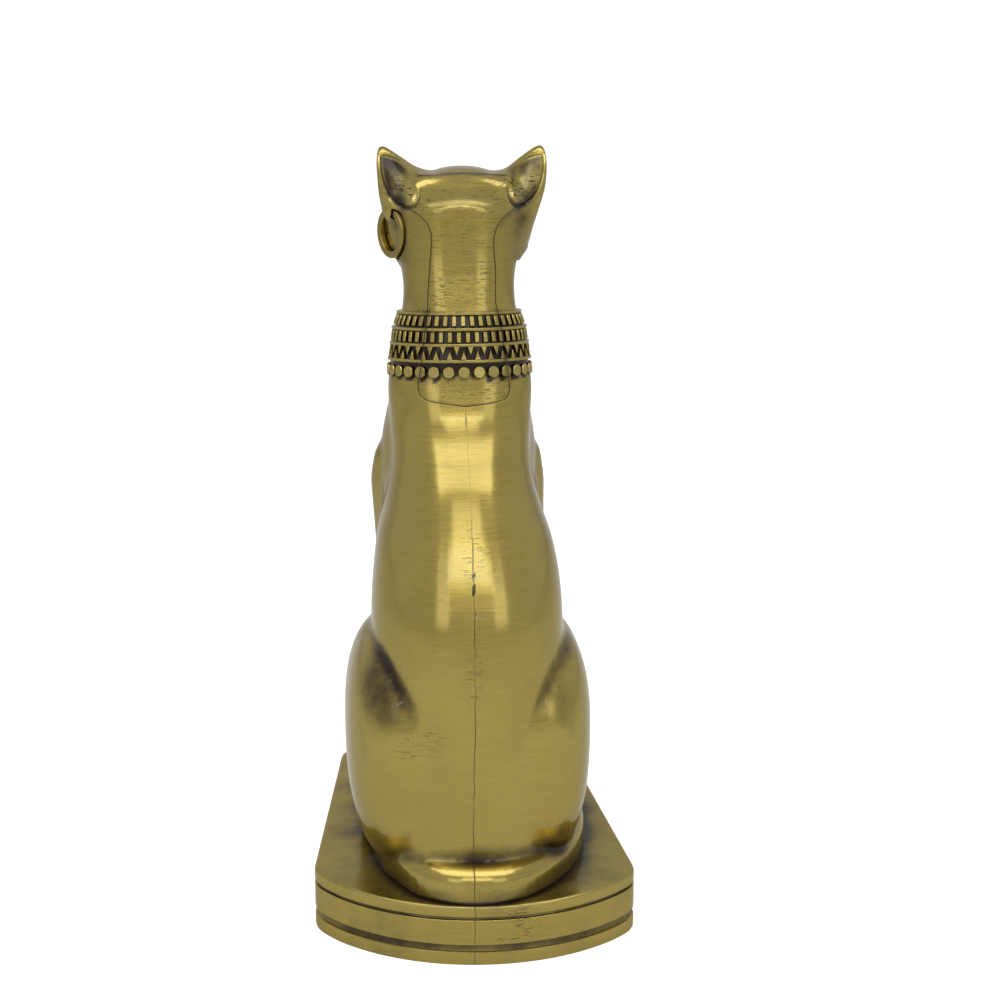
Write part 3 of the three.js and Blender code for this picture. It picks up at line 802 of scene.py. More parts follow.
floor = [(height, radius - FLOOR_DEPTH) for height, radius in RINGS]
trim = bmesh.new()
stamp(trim, bead, round_the_neck(46, floor[0], floor[1]))
stamp(trim, bead, round_the_neck(48, floor[1], floor[2], offset=0.5))
for share, offset, upside_down in ((0.27, 0, False), (0.73, 0.5, True)):
    stamp(trim, triangle, round_the_neck(32, floor[2], floor[3], share, offset, upside_down))
stamp(trim, disc, round_the_neck(DISCS, (117.8, 16.1), (112.9, 16.35)))

# %% Rings and floor
for height, radius in RINGS:
    # upper half of a ring's section, from the outside in; the lower half is its mirror image
    half = [(radius, RING_HALF - RING_CORNER), (radius - RING_CORNER, RING_HALF),
            (radius - RING_ROOT, RING_HALF)]
    lower, upper = ([(r, height + way * h) for r, h in half] for way in (-1, 1))
    turn_on_lathe(trim, lower[::-1] + upper, LATHE_STEPS)
band = bmesh.new()
turn_on_lathe(band, [(9, 128.9), (13.3, 128.9), *((radius, height) for height, radius in floor),
                     (16, 115), (15.8, 114.7), (9, 114.7)], LATHE_STEPS)
for part in (trim, band):
    bmesh.ops.transform(part, matrix=collar_place, verts=part.verts)
    bmesh.ops.recalc_face_normals(part, faces=part.faces)
print("collar:", len(trim.faces), "faces in beads and rings")
collar_trim, collar_band = to_object(trim, "collar_trim"), to_object(band, "collar_band")

# %% [markdown]
# ## The plinth
#
# The plinth is D-shaped: straight in front, tapered sides and a round back, with two grooves cut
# round its edge. One outline, drawn from the plinth's few sizes, is extruded from ring to ring, and
# every ring is drawn in by the depth of its groove or rounding. The top is sliced into small
# squares afterwards, because the dark patina round the cat is stored in its corners.

# %% The outline
PLINTH = {"half_width": 38.2, "taper": math.radians(5.6), "rear_radius": 47, "rear_skew": 2.1,
          "corner": 4.5}
low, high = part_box("cat_figure")
plinth_length = (high.y - low.y) / MM
arc_middle_y = plinth_length / 2 - PLINTH["rear_radius"]
widest = arc_middle_y + math.sqrt(PLINTH["rear_radius"] ** 2 - PLINTH["half_width"] ** 2)


def edge_x(y):
    return PLINTH["half_width"] - math.tan(PLINTH["taper"]) * np.abs(widest - y)


def back_y(x):
    return arc_middle_y + math.sqrt(PLINTH["rear_radius"] ** 2 - (x + PLINTH["rear_skew"]) ** 2)


def rounded(before, corner, after, count=8):
    start, end = (corner + (Vector(to) - corner).normalized() * PLINTH["corner"]
                  for to in (before, after))
    return [start.lerp(corner, t).lerp(corner.lerp(end, t), t) for t in np.linspace(0, 1, count)]


def plinth_side(sign):
    front, corner_y = -plinth_length / 2, widest
    for _ in range(12):
        corner_y = back_y(sign * edge_x(corner_y))
    front_corner = Vector((sign * edge_x(front), front))
    rear_corner = Vector((sign * edge_x(corner_y), corner_y))
    arc_start = rear_corner.x - sign * PLINTH["corner"] * 0.8
    arc = [Vector((x, back_y(x))) for x in np.linspace(arc_start, 0, 20)[1:]]
    return [*rounded((0, front), front_corner, rear_corner),
            *rounded(front_corner, rear_corner, arc[0]), *arc]


def plinth_outline(count=150):
    left, right = plinth_side(1), plinth_side(-1)
    front = (0, -plinth_length / 2)
    corners = np.array([front, *left, *right[-2::-1], front])
    travel = np.concatenate([[0], np.cumsum(np.linalg.norm(np.diff(corners, axis=0), axis=1))])
    at = np.linspace(0, travel[-1], count, endpoint=False)
    return np.stack([np.interp(at, travel, corners[:, axis]) for axis in (0, 1)], 1)


# %% Extruding it
# how far in, height above the table: foot, lower groove, upper groove, rounded top
PLINTH_SECTION = [
    (0.5, 0), (0.15, 0.12), (0, 0.45), (0, 0.7),
    (0, 3), (0.1, 3.2), (0.6, 3.35), (0.8, 3.6), (0.8, 4.6), (0.6, 4.85), (0.1, 5), (0, 5.2),
    (0, 5.5), (0, 10.6), (0, 10.85), (0.1, 11), (0.6, 11.1), (0.75, 11.4), (0.6, 11.7),
    (0.1, 11.8), (0, 11.95), (0, 12.2),
    (0, 13.7), (0, 13.9), (0.1, 14.2), (0.3, 14.4), (0.6, 14.5), (1, 14.5)]
SQUARE = 1.6
outline = plinth_outline()
run = np.roll(outline, -1, 0) - np.roll(outline, 1, 0)
run /= np.linalg.norm(run, axis=1, keepdims=True)
inward = np.stack([-run[:, 1], run[:, 0]], 1)
slab = bmesh.new()
loft(slab, [[(x, y, height) for x, y in outline + inward * depth]
            for depth, height in PLINTH_SECTION])
for cutting, reach in ((Vector((1, 0, 0)), 38), (Vector((0, 1, 0)), 51)):
    for at in np.arange(-reach, reach + 0.1, SQUARE):
        topping = [face for face in slab.faces
                   if min(vert.co.z for vert in face.verts) > PLINTH_HEIGHT - 0.01]
        edges = {edge for face in topping for edge in face.edges}
        verts = {vert for face in topping for vert in face.verts}
        bmesh.ops.bisect_plane(slab, geom=[*topping, *edges, *verts], dist=1e-5,
                               plane_co=cutting * at, plane_no=cutting)
bmesh.ops.translate(slab, verts=slab.verts, vec=Vector(-CAT_PLACE))
bmesh.ops.recalc_face_normals(slab, faces=slab.faces)
print("plinth:", round(plinth_length, 2), "mm long,", len(slab.faces), "faces")
plinth = to_object(slab, "plinth_block")

# %% [markdown]
# ## The hoop
#
# The earring is a band bent round, 11.6 mm across, that hangs in a lobe at the lower end of the
# ear. Its section is a rounded rectangle, spun in 72 steps. The same hoop, made fatter all round by
# the play it has in its hole, is the tool that drills the lobe.

# %% Hoop and drill
HOOP = {"centre": (14.8, -1.6, 146.4), "outside": 5.8, "wall": 1.6, "band": 2.5, "corner": 0.28,
        "turn": math.radians(62), "play": 0.35, "steps": 72}


def hoop(extra=0.0, name="hoop_earring"):
    """A hoop that is thicker all round by `extra`."""
    outside, inside = HOOP["outside"] + extra, HOOP["outside"] - HOOP["wall"] - extra
    half, corner = HOOP["band"] / 2 + extra, HOOP["corner"]
    section = []
    for quarter, (out, up) in enumerate(((1, 1), (-1, 1), (-1, -1), (1, -1))):
        radius = (outside if out > 0 else inside) - out * corner
        height = up * (half - corner)
        angles = np.linspace(quarter * math.pi / 2, (quarter + 1) * math.pi / 2, 4)
        section += [(radius + corner * math.cos(angle), height + corner * math.sin(angle))
                    for angle in angles]
    work = bmesh.new()
    turn_on_lathe(work, section, HOOP["steps"])
    axis = Vector((math.sin(HOOP["turn"]), math.cos(HOOP["turn"]), 0))
    turn = axis.to_track_quat("Z", "Y").to_matrix().to_4x4()
    bmesh.ops.transform(work, matrix=Matrix.Translation(HOOP["centre"]) @ turn, verts=work.verts)
    bmesh.ops.recalc_face_normals(work, faces=work.faces)
    return to_object(work, name)


earring, drill = hoop(), hoop(HOOP["play"], "drill")
print("hoop:", len(earring.data.polygons), "faces")

# %% [markdown]
# ## One casting
#
# Cat, collar and plinth came out of one mould, so they become one closed skin. The boolean works in
# the order of the real thing: the collar's floor goes on the neck, beads and rings on the floor,
# the cat on its plinth, and at last the lobe is drilled.

# %% Booleans
def combine(thing, tool, operation):
    change = thing.modifiers.new("combine", "BOOLEAN")
    change.operation, change.object, change.solver = operation, tool, "MANIFOLD"
    apply_modifiers(thing)
    bpy.data.objects.remove(tool)
    print(operation.lower(), "->", len(thing.data.polygons), "faces")


for tool in (collar_band, collar_trim, plinth):
    combine(figure, tool, "UNION")
combine(figure, drill, "DIFFERENCE")
work = bmesh.new()
work.from_mesh(figure.data)
# the booleans leave slivers thinner than a hundredth of a millimetre
bmesh.ops.dissolve_degenerate(work, dist=0.01, edges=work.edges)
bmesh.ops.triangulate(work, faces=[face for face in work.faces if len(face.verts) > 4])
open_edges = sum(edge.is_boundary or edge.is_wire for edge in work.edges)
pinched = sum(len(edge.link_faces) > 2 for edge in work.edges)
work.to_mesh(figure.data)
work.free()
triangles = sum(len(polygon.vertices) - 2 for polygon in figure.data.polygons)
print("casting:", triangles, "triangles,", open_edges, "open edges,", pinched, "pinched")

# %% [markdown]
# ## What the shape says about its finish
#
# An antique finish is made in two steps: the whole casting is darkened, then the raised parts are
# rubbed bright again. So the dark stays wherever a cloth can't reach. The field of the cat tells
# how deep in a corner a point lies: a little way out from the surface, the nearest metal should be
# that far away, and where it is closer, the point is in a recess. The same question asked inwards
# finds edges. Distances to the mould's lines are kept as well, in millimetres, so the shader can
# draw them crisply.

# %% Fields of the plinth and the collar
def plinth_field(p):
    """Distance outside the plinth's outline, and height above its top."""
    x, y, z = (p + CAT_PLACE).T
    side = (np.abs(x) - edge_x(y)) * math.cos(PLINTH["taper"])
    from_arc = np.hypot(x + PLINTH["rear_skew"], y - arc_middle_y) - PLINTH["rear_radius"]
    rear = np.where(y > arc_middle_y, from_arc, -FAR)
    return np.maximum(np.maximum(side, -plinth_length / 2 - y), rear), z - PLINTH_HEIGHT


def whole(p):
    around, above = plinth_field(p)
    return np.minimum(cat(p), np.maximum(around, above))


def collar_depth(p):
    """Own height in the collar, depth below the rings, and distance outside the nearest disc."""
    back = np.array(collar_place.inverted())
    x, y, z = (p @ back[:3, :3].T + back[:3, 3]).T
    heights, radii = zip(*reversed([*RINGS, (114, 16.95)]))
    pitch = 2 * math.pi / DISCS
    aside = DISC_PLACE[1] * ((np.arctan2(y, x) - math.pi / 2 + pitch / 2) % pitch - pitch / 2)
    outside_disc = np.hypot(aside, z - DISC_PLACE[0]) - DISC_RADIUS
    return z, np.interp(z, heights, radii) - np.hypot(x, y), outside_disc


# %% Hollows, corners and edges
points = read_points(figure.data)
normals = np.empty(len(points) * 3)
figure.data.vertices.foreach_get("normal", normals)
normals = normals.reshape(-1, 3)


def closed_in(reach):
    """How much nearer the metal is, a reach out from the surface, than it is off a flat; 0 to 1."""
    return np.clip(1 - whole(points + normals * reach) / reach, 0, 1)


hollow = sum(weight * closed_in(reach) for reach, weight in ((1.6, 0.45), (3.5, 0.45), (8, 0.35)))
recess = np.minimum(hollow, 0.28) + 0.5 * closed_in(0.7)
# painted shade: the cat is a little darker in its lowest 12 mm, close to the plinth
recess += 0.06 * step(12, 3, points[:, 2])
bowl = step(-0.15, -0.7, cat(points)) * (points[:, 2] > 148)
recess += bowl * (0.33 - recess)
# the same question asked inwards, 0.9 mm deep
edge = closed_in(-0.9)
print("mean recess of the bare shape:", recess.mean().round(3))

# %% Patina on the plinth
# the top is dark beside the cat and clears towards the edge; the side is dark in its grooves
_, above = plinth_field(points)
near_cat = 0.6 * np.exp(-np.maximum(cat(points), 0) / 2.6) + 0.19
recess = np.where(above < 0.2, near_cat, recess)
cut_in, heights = (np.array(column) for column in zip(*PLINTH_SECTION))
in_groove = step(0.05, 0.6, np.interp(above + PLINTH_HEIGHT, heights, cut_in))
recess = np.where(above < -0.3, 0.15 + 0.3 * in_groove, recess)

# %% Patina in the collar
# Own heights: the collar ends at its foot, and its top ring meets the neck over its top. The discs
# hang over the foot, so a thin outline goes round each of them.
COLLAR_FOOT, COLLAR_TOP, NECK_FROM = 114.2, 129, 128.6
OUTER_ROWS = {"middle": 121.8, "half": 6.6, "most": 0.42}
own_height, depth, outside_disc = collar_depth(points)
deepest = np.where(own_height > NECK_FROM, 1.3, 2.2)
on_collar = (own_height > COLLAR_FOOT) & (own_height < COLLAR_TOP)
on_collar &= (depth < deepest) & (depth > -0.3)
recess = np.where(on_collar, 1.1 * step(0.22, 0.62, depth) + 0.17, recess)
outer_row = on_collar & (np.abs(own_height - OUTER_ROWS["middle"]) > OUTER_ROWS["half"])
recess = np.where(outer_row, np.minimum(recess, OUTER_ROWS["most"]), recess)
by_disc = step(0.45, 0.05, outside_disc) * step(113.2, 113.9, own_height)
by_disc *= (depth > 0.3) & (depth < 3)
recess = np.maximum(recess, 0.72 * by_disc)
edge = np.where(on_collar, 0.4 * step(0.25, 0.05, depth), edge)
# grime beside the collar, on the neck above it and on the shoulders below
grime = np.exp(-np.abs(own_height - COLLAR_TOP) / 1.6) * ((own_height > NECK_FROM) & (depth > 1.2))
below_foot = (own_height < COLLAR_FOOT) & (own_height > 108) & (depth < 3)
grime += np.exp(-np.abs(own_height - 114) / 1.1) * below_foot
print("points on the collar:", int(on_collar.sum()))

# %% Patina and painted shade on ears, neck and haunches
# place on the cat, radius, strength: soft spots of patina and painted shade in the hollow behind
# each haunch's edge and low on the rump above the tail, where the metal would mirror bright glints
PATINA_AND_SHADE_SPOTS = [((24, 28, 52), 5, 0.25), ((19.5, 32, 46), 5.5, 0.4), ((16.5, 35, 42), 4.5, 0.42),
           ((-19.5, 33, 44), 5, 0.3), ((19, 31, 9), 6, 0.22), ((-20, 31, 9), 6, 0.28)]


def spots(places):
    """Soft round spots added up."""
    return sum(strength * np.exp(-((points - place) ** 2).sum(1) / radius ** 2)
               for place, radius, strength in places)


x, y, z = points.T
across = np.abs(x - head_shift(z))
leaf = step(0.6, -0.6, signed(across, z, PETAL)) * (y > -9) * step(8, 9.5, across)
leaf *= (z > 150) * step(-0.1, 0.3, normals[:, 1])
recess *= 1 - 0.6 * leaf
# the leaves are darker towards their outer edge, and the left one is a little darker than the right
leaf_patina = leaf * (0.2 + 0.35 * step(11.5, 15, across)) * np.where(x > 0, 1, 0.85)
away, share = haunch_crease(points)
crease = 0.12 * share * np.exp(-(away / 3.5) ** 2)
# painted shade: the neck's sides are darker between the collar and the ridge
neck_side_shade = 0.16 * step(6, 11, np.abs(x + 0.4)) * step(129, 131, z) * step(153, 149, z)
recess = recess + 0.34 * grime + leaf_patina + crease + neck_side_shade + spots(PATINA_AND_SHADE_SPOTS)
recess = np.clip(recess, 0, 1.2)
# the line where the neck leaves the top ring keeps no more than a shade
at_top_ring = (own_height > 128.45) & (own_height < 129.8) & (depth < 4)
recess = np.where(at_top_ring, np.minimum(recess, 0.36), recess)
for name, values in (("recess", recess), ("edge", edge)):
    print(name, "over 0.5 at", int((values > 0.5).sum()), "points")

# %% The mould's lines
# The back of the head was a loose insert of the mould. Its outline runs over the crown, round the
# leaves of both ears, down the neck, over the collar and together in a shallow V. The mould's
# halves met in the seam that runs on from there.
LEAF_ROUND = [(15.3, 162.6), (18.1, 163.5), (18.2, 159.5), (17.3, 156.8), (15.9, 154.6),
              (13.6, 153)]
NECK_LEFT = [(9.5, 151.5), (7.7, 149.8), (6.8, 147.6), (6.75, 145.4), (7.1, 141), (7.6, 135.7),
             (7.9, 130.6), (8.7, 125), (9.5, 119.9), (9.7, 117.6), (10.3, 114.6), (10.3, 112.2),
             (9.3, 110.9), (7.6, 110.4), (-0.2, 109.4)]
NECK_RIGHT = [(-7.4, 110), (-9.6, 110.5), (-10.6, 111.6), (-10.7, 113.5), (-10, 117.6),
              (-9.6, 120.6), (-8.6, 128.1), (-7.7, 131.9), (-7.8, 139.2), (-7.5, 143), (-7.4, 146),
              (-8.1, 148.5), (-9.7, 150.6), (-12.2, 152.1)]
INSERT = [(-11, 159.3), (-7.3, 159.7), (-1.5, 160.0), (4.2, 159.8), (9.1, 159.5)]
INSERT += [(x + HEAD_SHIFT, z) for x, z in LEAF_ROUND] + NECK_LEFT + NECK_RIGHT
INSERT += [(HEAD_SHIFT - x, z) for x, z in reversed(LEAF_ROUND)]
# height, place across
SEAM = [(109.5, -0.4), (102, -0.5), (90, -0.62), (75, -0.76), (60, -0.68), (43, -0.76), (32, -0.35),
        (7, -0.3), (-20, -0.1)]
NO_LINE = 20.0

# both lines are only kept on the back
behind = step(-3.2, -1.2, y) * step(-0.25, 0.05, normals[:, 1] + 0.6 * normals[:, 2])
insert_mm = np.where((y > -3.5) & (z > 104), signed(x, z, INSERT), NO_LINE)
seam_heights, seam_offsets = zip(*reversed(SEAM))
seam_mm = np.where(y > 4, x - np.interp(z, seam_heights, seam_offsets), NO_LINE)
# the seam starts below the insert and is fainter between the shoulders
seam_shows = step(5, 9, y) * step(109.6, 109, z)
seam_shows *= 0.85 - 0.55 * step(78, 84, z) * step(107, 104, z)
print("insert outline:", len(INSERT), "corners")

# %% Stains and scuffs
# place on the cat, radius and strength: the left haunch, then the back and top of the plinth
# beside the seam, then two faint ones on the back
STAINS = [((24.6, 26.5, 46.8), 3.2, 0.35), ((14, 39, 35.4), 2.6, 0.6), ((16.9, 35, 48.3), 4, 0.35),
          ((15, 37.7, 43.3), 2.6, 0.4), ((10.2, 39.6, 38.9), 2.2, 0.5), ((7.6, 40.6, 37), 1.8, 0.6),
          ((21, 31, 41), 3, 0.3),
          ((-10, 45.5, -2.5), 2.6, 0.8), ((-7.4, 46, -8), 2.8, 0.75),
          ((-13.5, 44.5, -5.8), 3.6, 0.7), ((-4, 45.6, 3), 2, 0.5), ((-9, 44, 2), 2.4, 0.4),
          ((-18, 38, 60), 3, 0.12), ((8, 36, 72), 3, 0.12)]
# the recess attribute holds the patina of the hollows and painted shade low on the cat, on the
# neck's sides and in soft spots by the haunches
stored_values = {"recess": recess, "edge": edge, "insert_mm": insert_mm, "seam_mm": seam_mm,
                 "seam_shows": seam_shows, "behind": behind,
                 "stain": np.clip(0.7 * leaf + spots(STAINS), 0, 1)}
for name, values in stored_values.items():
    attribute = figure.data.attributes.new(name, "FLOAT", "POINT")
    attribute.data.foreach_set("value", np.asarray(values, np.float32))
    print(name, "from", round(float(values.min()), 2), "to", round(float(values.max()), 2))

# %% [markdown]
# ## Into the scene's metres
#
# Until here the cat was in millimetres in its own frame. Its points are now moved to the packed
# frame, once and for all, and both pieces take the places of the two solids that they detail.

# %% Placing both pieces
SHARP = math.radians(42)
for piece in (figure, earring):
    write_points(piece.data, to_scene(read_points(piece.data)))
    piece.data.polygons.foreach_set("use_smooth", [True] * len(piece.data.polygons))
    piece.data.set_sharp_from_angle(angle=SHARP)
    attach(piece, "root")
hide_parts("cat_figure")
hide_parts("earring")
print("casting and hoop placed")


# %% [markdown]
# ## Antiqued brass plate
#
# The casting is zinc with a thin plate of brass. It was darkened with a brown patina, rubbed back
# with a fine belt that ran round the figure, and lacquered. That gives an olive yellow metal, brown
# in every recess, with hair-fine level scratches that draw the highlights out upwards and
# downwards. The shader starts from metal with a middling roughness, stretched across the scratches.

# %% Colours and one helper for nodes
def colour(code):
    """A linear colour from an sRGB hex value."""
    channels = [int(code[i:i + 2], 16) / 255 for i in (1, 3, 5)]
    return (*(c / 12.92 if c <= 0.04045 else ((c + 0.055) / 1.055) ** 2.4 for c in channels), 1)


def node(tree, kind, inputs=None, **settings):
    """Adds a node, sets it up and links or fills its inputs."""
    made = tree.nodes.new(kind)
    for name, value in settings.items():
        setattr(made, name, value)
    for socket, value in (inputs or {}).items():
        if isinstance(value, bpy.types.NodeSocket):
            tree.links.new(value, made.inputs[socket])
        else:
            made.inputs[socket].default_value = value
    return made


def new_material(name):
    material = bpy.data.materials.new(name)
    material.use_nodes = True
    material.node_tree.nodes.clear()
    return material, material.node_tree


# %% Brass: where things are
brass, tree = new_material("antiqued_brass_plate")
place = node(tree, "ShaderNodeTexCoord").outputs["Object"]
height_m = node(tree, "ShaderNodeSeparateXYZ", {0: place}).outputs["Z"]
stored = {name: node(tree, "ShaderNodeAttribute", attribute_name=name).outputs["Fac"]
          for name in stored_values}

# %% Brass: the belt's scratches
# A scale is one over a size in metres. Real scratches are 0.05 mm wide. They are drawn 0.32 mm
# wide and 7 mm long, because a pixel is 0.24 mm.
fine = node(tree, "ShaderNodeMapping", {"Vector": place, "Scale": (150, 150, 3100)})
scratches = node(tree, "ShaderNodeTexNoise", {
    "Vector": fine.outputs[0], "Scale": 1, "Detail": 3, "Roughness": 0.6}).outputs[0]
# slower waves, 2 mm high and 20 mm long, where the belt pressed harder
slow = node(tree, "ShaderNodeMapping", {"Vector": place, "Scale": (50, 50, 480)})
waves = node(tree, "ShaderNodeTexNoise", {
    "Vector": slow.outputs[0], "Scale": 1, "Detail": 2, "Roughness": 0.5}).outputs[0]
# the patina's clouds, 14 mm across
clouds = node(tree, "ShaderNodeTexNoise", {
    "Vector": place, "Scale": 70, "Detail": 4, "Roughness": 0.6}).outputs[0]
# short dashes of patina, 2.4 mm long, left in the deeper scratches of the insert
grains_at = node(tree, "ShaderNodeMapping", {"Vector": place, "Scale": (420, 420, 3000)})
grains = node(tree, "ShaderNodeTexNoise", {
    "Vector": grains_at.outputs[0], "Scale": 1, "Detail": 2, "Roughness": 0.7}).outputs[0]

# %% Brass: the insert's line
# a line 0.3 mm wide, a halo of patina that the cloth left beside it, and the insert's sunken lip
away = node(tree, "ShaderNodeMath", {0: stored["insert_mm"]}, operation="ABSOLUTE").outputs[0]
line = node(tree, "ShaderNodeMapRange", {
    "Value": away, "From Min": 0.05, "From Max": 0.24, "To Min": 1, "To Max": 0},
    interpolation_type="SMOOTHSTEP").outputs[0]
insert_line = node(tree, "ShaderNodeMath", {0: line, 1: stored["behind"]},
                   operation="MULTIPLY").outputs[0]
halo = node(tree, "ShaderNodeMapRange", {
    "Value": away, "From Min": 0.1, "From Max": 1.5, "To Min": 0.16, "To Max": 0},
    interpolation_type="SMOOTHSTEP").outputs[0]
halo = node(tree, "ShaderNodeMath", {0: halo, 1: stored["behind"]}, operation="MULTIPLY").outputs[0]
lip = node(tree, "ShaderNodeMapRange", {
    "Value": stored["insert_mm"], "From Min": -0.5, "From Max": 0.1},
    interpolation_type="SMOOTHSTEP").outputs[0]
inside_insert = node(tree, "ShaderNodeMapRange", {
    "Value": stored["insert_mm"], "From Min": -0.4, "From Max": 0.4, "To Min": 1,
    "To Max": 0}).outputs[0]

# %% Brass: the seam
# the seam's line wanders by up to 0.3 mm, and the cloth took the patina out of it in places
wander_at = node(tree, "ShaderNodeTexNoise", {
    "Vector": place, "Scale": 260, "Detail": 2}).outputs[0]
wander = node(tree, "ShaderNodeMapRange", {
    "Value": wander_at, "To Min": -0.3, "To Max": 0.3}).outputs[0]
off_seam = node(tree, "ShaderNodeMath", {0: stored["seam_mm"], 1: wander},
                operation="ADD").outputs[0]
seam_away = node(tree, "ShaderNodeMath", {0: off_seam}, operation="ABSOLUTE").outputs[0]
thread = node(tree, "ShaderNodeMapRange", {
    "Value": seam_away, "From Min": 0.03, "From Max": 0.22, "To Min": 1, "To Max": 0},
    interpolation_type="SMOOTHSTEP").outputs[0]
shown = node(tree, "ShaderNodeMath", {0: thread, 1: stored["seam_shows"]},
             operation="MULTIPLY").outputs[0]
kept = node(tree, "ShaderNodeMapRange", {
    "Value": clouds, "From Min": 0.42, "From Max": 0.6, "To Min": 0.5, "To Max": 1}).outputs[0]
seam_line = node(tree, "ShaderNodeMath", {0: shown, 1: kept}, operation="MULTIPLY").outputs[0]


def stretch(low, high, soft=1.5):
    """One between two heights above the table in millimetres, nought elsewhere."""
    rise = node(tree, "ShaderNodeMapRange", {
        "Value": height_m, "From Min": (low - soft) * MM, "From Max": low * MM})
    fall = node(tree, "ShaderNodeMapRange", {
        "Value": height_m, "From Min": high * MM, "From Max": (high + soft) * MM,
        "To Min": 1, "To Max": 0})
    return node(tree, "ShaderNodeMath", {0: rise.outputs[0], 1: fall.outputs[0]},
                operation="MULTIPLY").outputs[0]


# %% Brass: pits and file marks beside the seam
# pits 1.6 mm apart in the seam between the shoulders and the rump
pitted = node(tree, "ShaderNodeMapRange", {
    "Value": seam_away, "From Min": 0.25, "From Max": 0.5, "To Min": 1, "To Max": 0}).outputs[0]
holes = node(tree, "ShaderNodeTexNoise", {"Vector": place, "Scale": 620, "Detail": 1}).outputs[0]
pit_at = node(tree, "ShaderNodeMapRange", {
    "Value": holes, "From Min": 0.5, "From Max": 0.57}).outputs[0]
pit_line = node(tree, "ShaderNodeMath", {0: pitted, 1: pit_at}, operation="MULTIPLY").outputs[0]
pits = node(tree, "ShaderNodeMath", {0: pit_line, 1: stretch(77, 90.4, 0.3)},
            operation="MULTIPLY").outputs[0]
# the file marks across the seam lie within 2 mm of it, most of them in two stretches
filed_where = node(tree, "ShaderNodeMath", {0: stretch(90, 99), 1: stretch(62, 75)},
                   operation="ADD").outputs[0]
filed_where = node(tree, "ShaderNodeMath", {0: filed_where, 1: 0.8, 2: 0.2},
                   operation="MULTIPLY_ADD").outputs[0]
beside = node(tree, "ShaderNodeMapRange", {
    "Value": seam_away, "From Min": 1.0, "From Max": 3.0, "To Min": 1, "To Max": 0},
    interpolation_type="SMOOTHSTEP").outputs[0]
filed = node(tree, "ShaderNodeMath", {0: beside, 1: filed_where}, operation="MULTIPLY").outputs[0]

# %% Brass: bright metal
# the plate's own colour in clouds, streaked by the belt, and brightest on the edges
rubbed = node(tree, "ShaderNodeMix", {
    "Factor": clouds, "A": colour("#9F8B3F"), "B": colour("#B9A553")}, data_type="RGBA")
streak = node(tree, "ShaderNodeMapRange", {
    "Value": scratches, "From Min": 0.3, "From Max": 0.7, "To Min": 0.92, "To Max": 1.05})
brushed = node(tree, "ShaderNodeMix", {
    "Factor": 1, "A": rubbed.outputs["Result"], "B": streak.outputs[0]},
    data_type="RGBA", blend_type="MULTIPLY")
polished = node(tree, "ShaderNodeMix", {
    "Factor": stored["edge"], "A": brushed.outputs["Result"], "B": colour("#CDBB70")},
    data_type="RGBA")

# %% Brass: patina and painted shade
# clouds make the recesses' patina uneven
uneven = node(tree, "ShaderNodeMath", {0: clouds, 1: 0.8, 2: -0.36},
              operation="MULTIPLY_ADD").outputs[0]
# the recess attribute brings the patina of the hollows and, in a few places, painted shade
patina_and_shade = node(tree, "ShaderNodeMath", {0: stored["recess"], 1: uneven}, operation="ADD").outputs[0]
patina_and_shade = node(tree, "ShaderNodeMath", {0: patina_and_shade, 1: halo}, operation="ADD").outputs[0]
patina_and_shade = node(tree, "ShaderNodeMapRange", {"Value": patina_and_shade, "From Min": 0.12, "From Max": 0.72},
            interpolation_type="SMOOTHSTEP").outputs[0]
# dashes are few on the belt's metal and many in the insert, the file marks and the stains
grain_mark = node(tree, "ShaderNodeMapRange", {"Value": grains, "From Min": 0.53, "From Max": 0.66},
                  interpolation_type="SMOOTHSTEP").outputs[0]
share = 0.05
for where, most in ((inside_insert, 0.5), (filed, 0.3), (stored["stain"], 1)):
    share = node(tree, "ShaderNodeMath", {0: where, 1: most, 2: share},
                 operation="MULTIPLY_ADD").outputs[0]
marks = node(tree, "ShaderNodeMath", {0: grain_mark, 1: share}, operation="MULTIPLY",
             use_clamp=True).outputs[0]
lines = node(tree, "ShaderNodeMath", {0: insert_line, 1: seam_line}, operation="MAXIMUM").outputs[0]
lines = node(tree, "ShaderNodeMath", {0: lines, 1: pits}, operation="MAXIMUM").outputs[0]
drawn = node(tree, "ShaderNodeMath", {0: lines, 1: 0.85}, operation="MULTIPLY").outputs[0]
drawn = node(tree, "ShaderNodeMath", {0: marks, 1: drawn}, operation="MAXIMUM").outputs[0]
dark = node(tree, "ShaderNodeMath", {0: patina_and_shade, 1: drawn}, operation="MAXIMUM",
            use_clamp=True).outputs[0]
finish = node(tree, "ShaderNodeMix", {
    "Factor": dark, "A": polished.outputs["Result"], "B": colour("#2C1E0D")}, data_type="RGBA")

# %% Brass: relief and gloss
# heights in millimetres: scratches and waves stand out; lines, dashes and the lip go in
relief = node(tree, "ShaderNodeMath", {0: scratches, 1: 0.009}, operation="MULTIPLY").outputs[0]
for part, depth in ((waves, 0.022), (lines, -0.09), (marks, -0.012), (lip, -0.04)):
    relief = node(tree, "ShaderNodeMath", {0: part, 1: depth, 2: relief},
                  operation="MULTIPLY_ADD").outputs[0]
bump = node(tree, "ShaderNodeBump", {"Strength": 1, "Distance": MM, "Height": relief})
smooth = node(tree, "ShaderNodeMapRange", {
    "Value": scratches, "From Min": 0.3, "From Max": 0.7, "To Min": 0.17,
    "To Max": 0.24}).outputs[0]
rough = node(tree, "ShaderNodeMath", {0: dark, 1: 0.42, 2: smooth},
             operation="MULTIPLY_ADD").outputs[0]
grain_way = node(tree, "ShaderNodeTangent", direction_type="RADIAL", axis="Z")
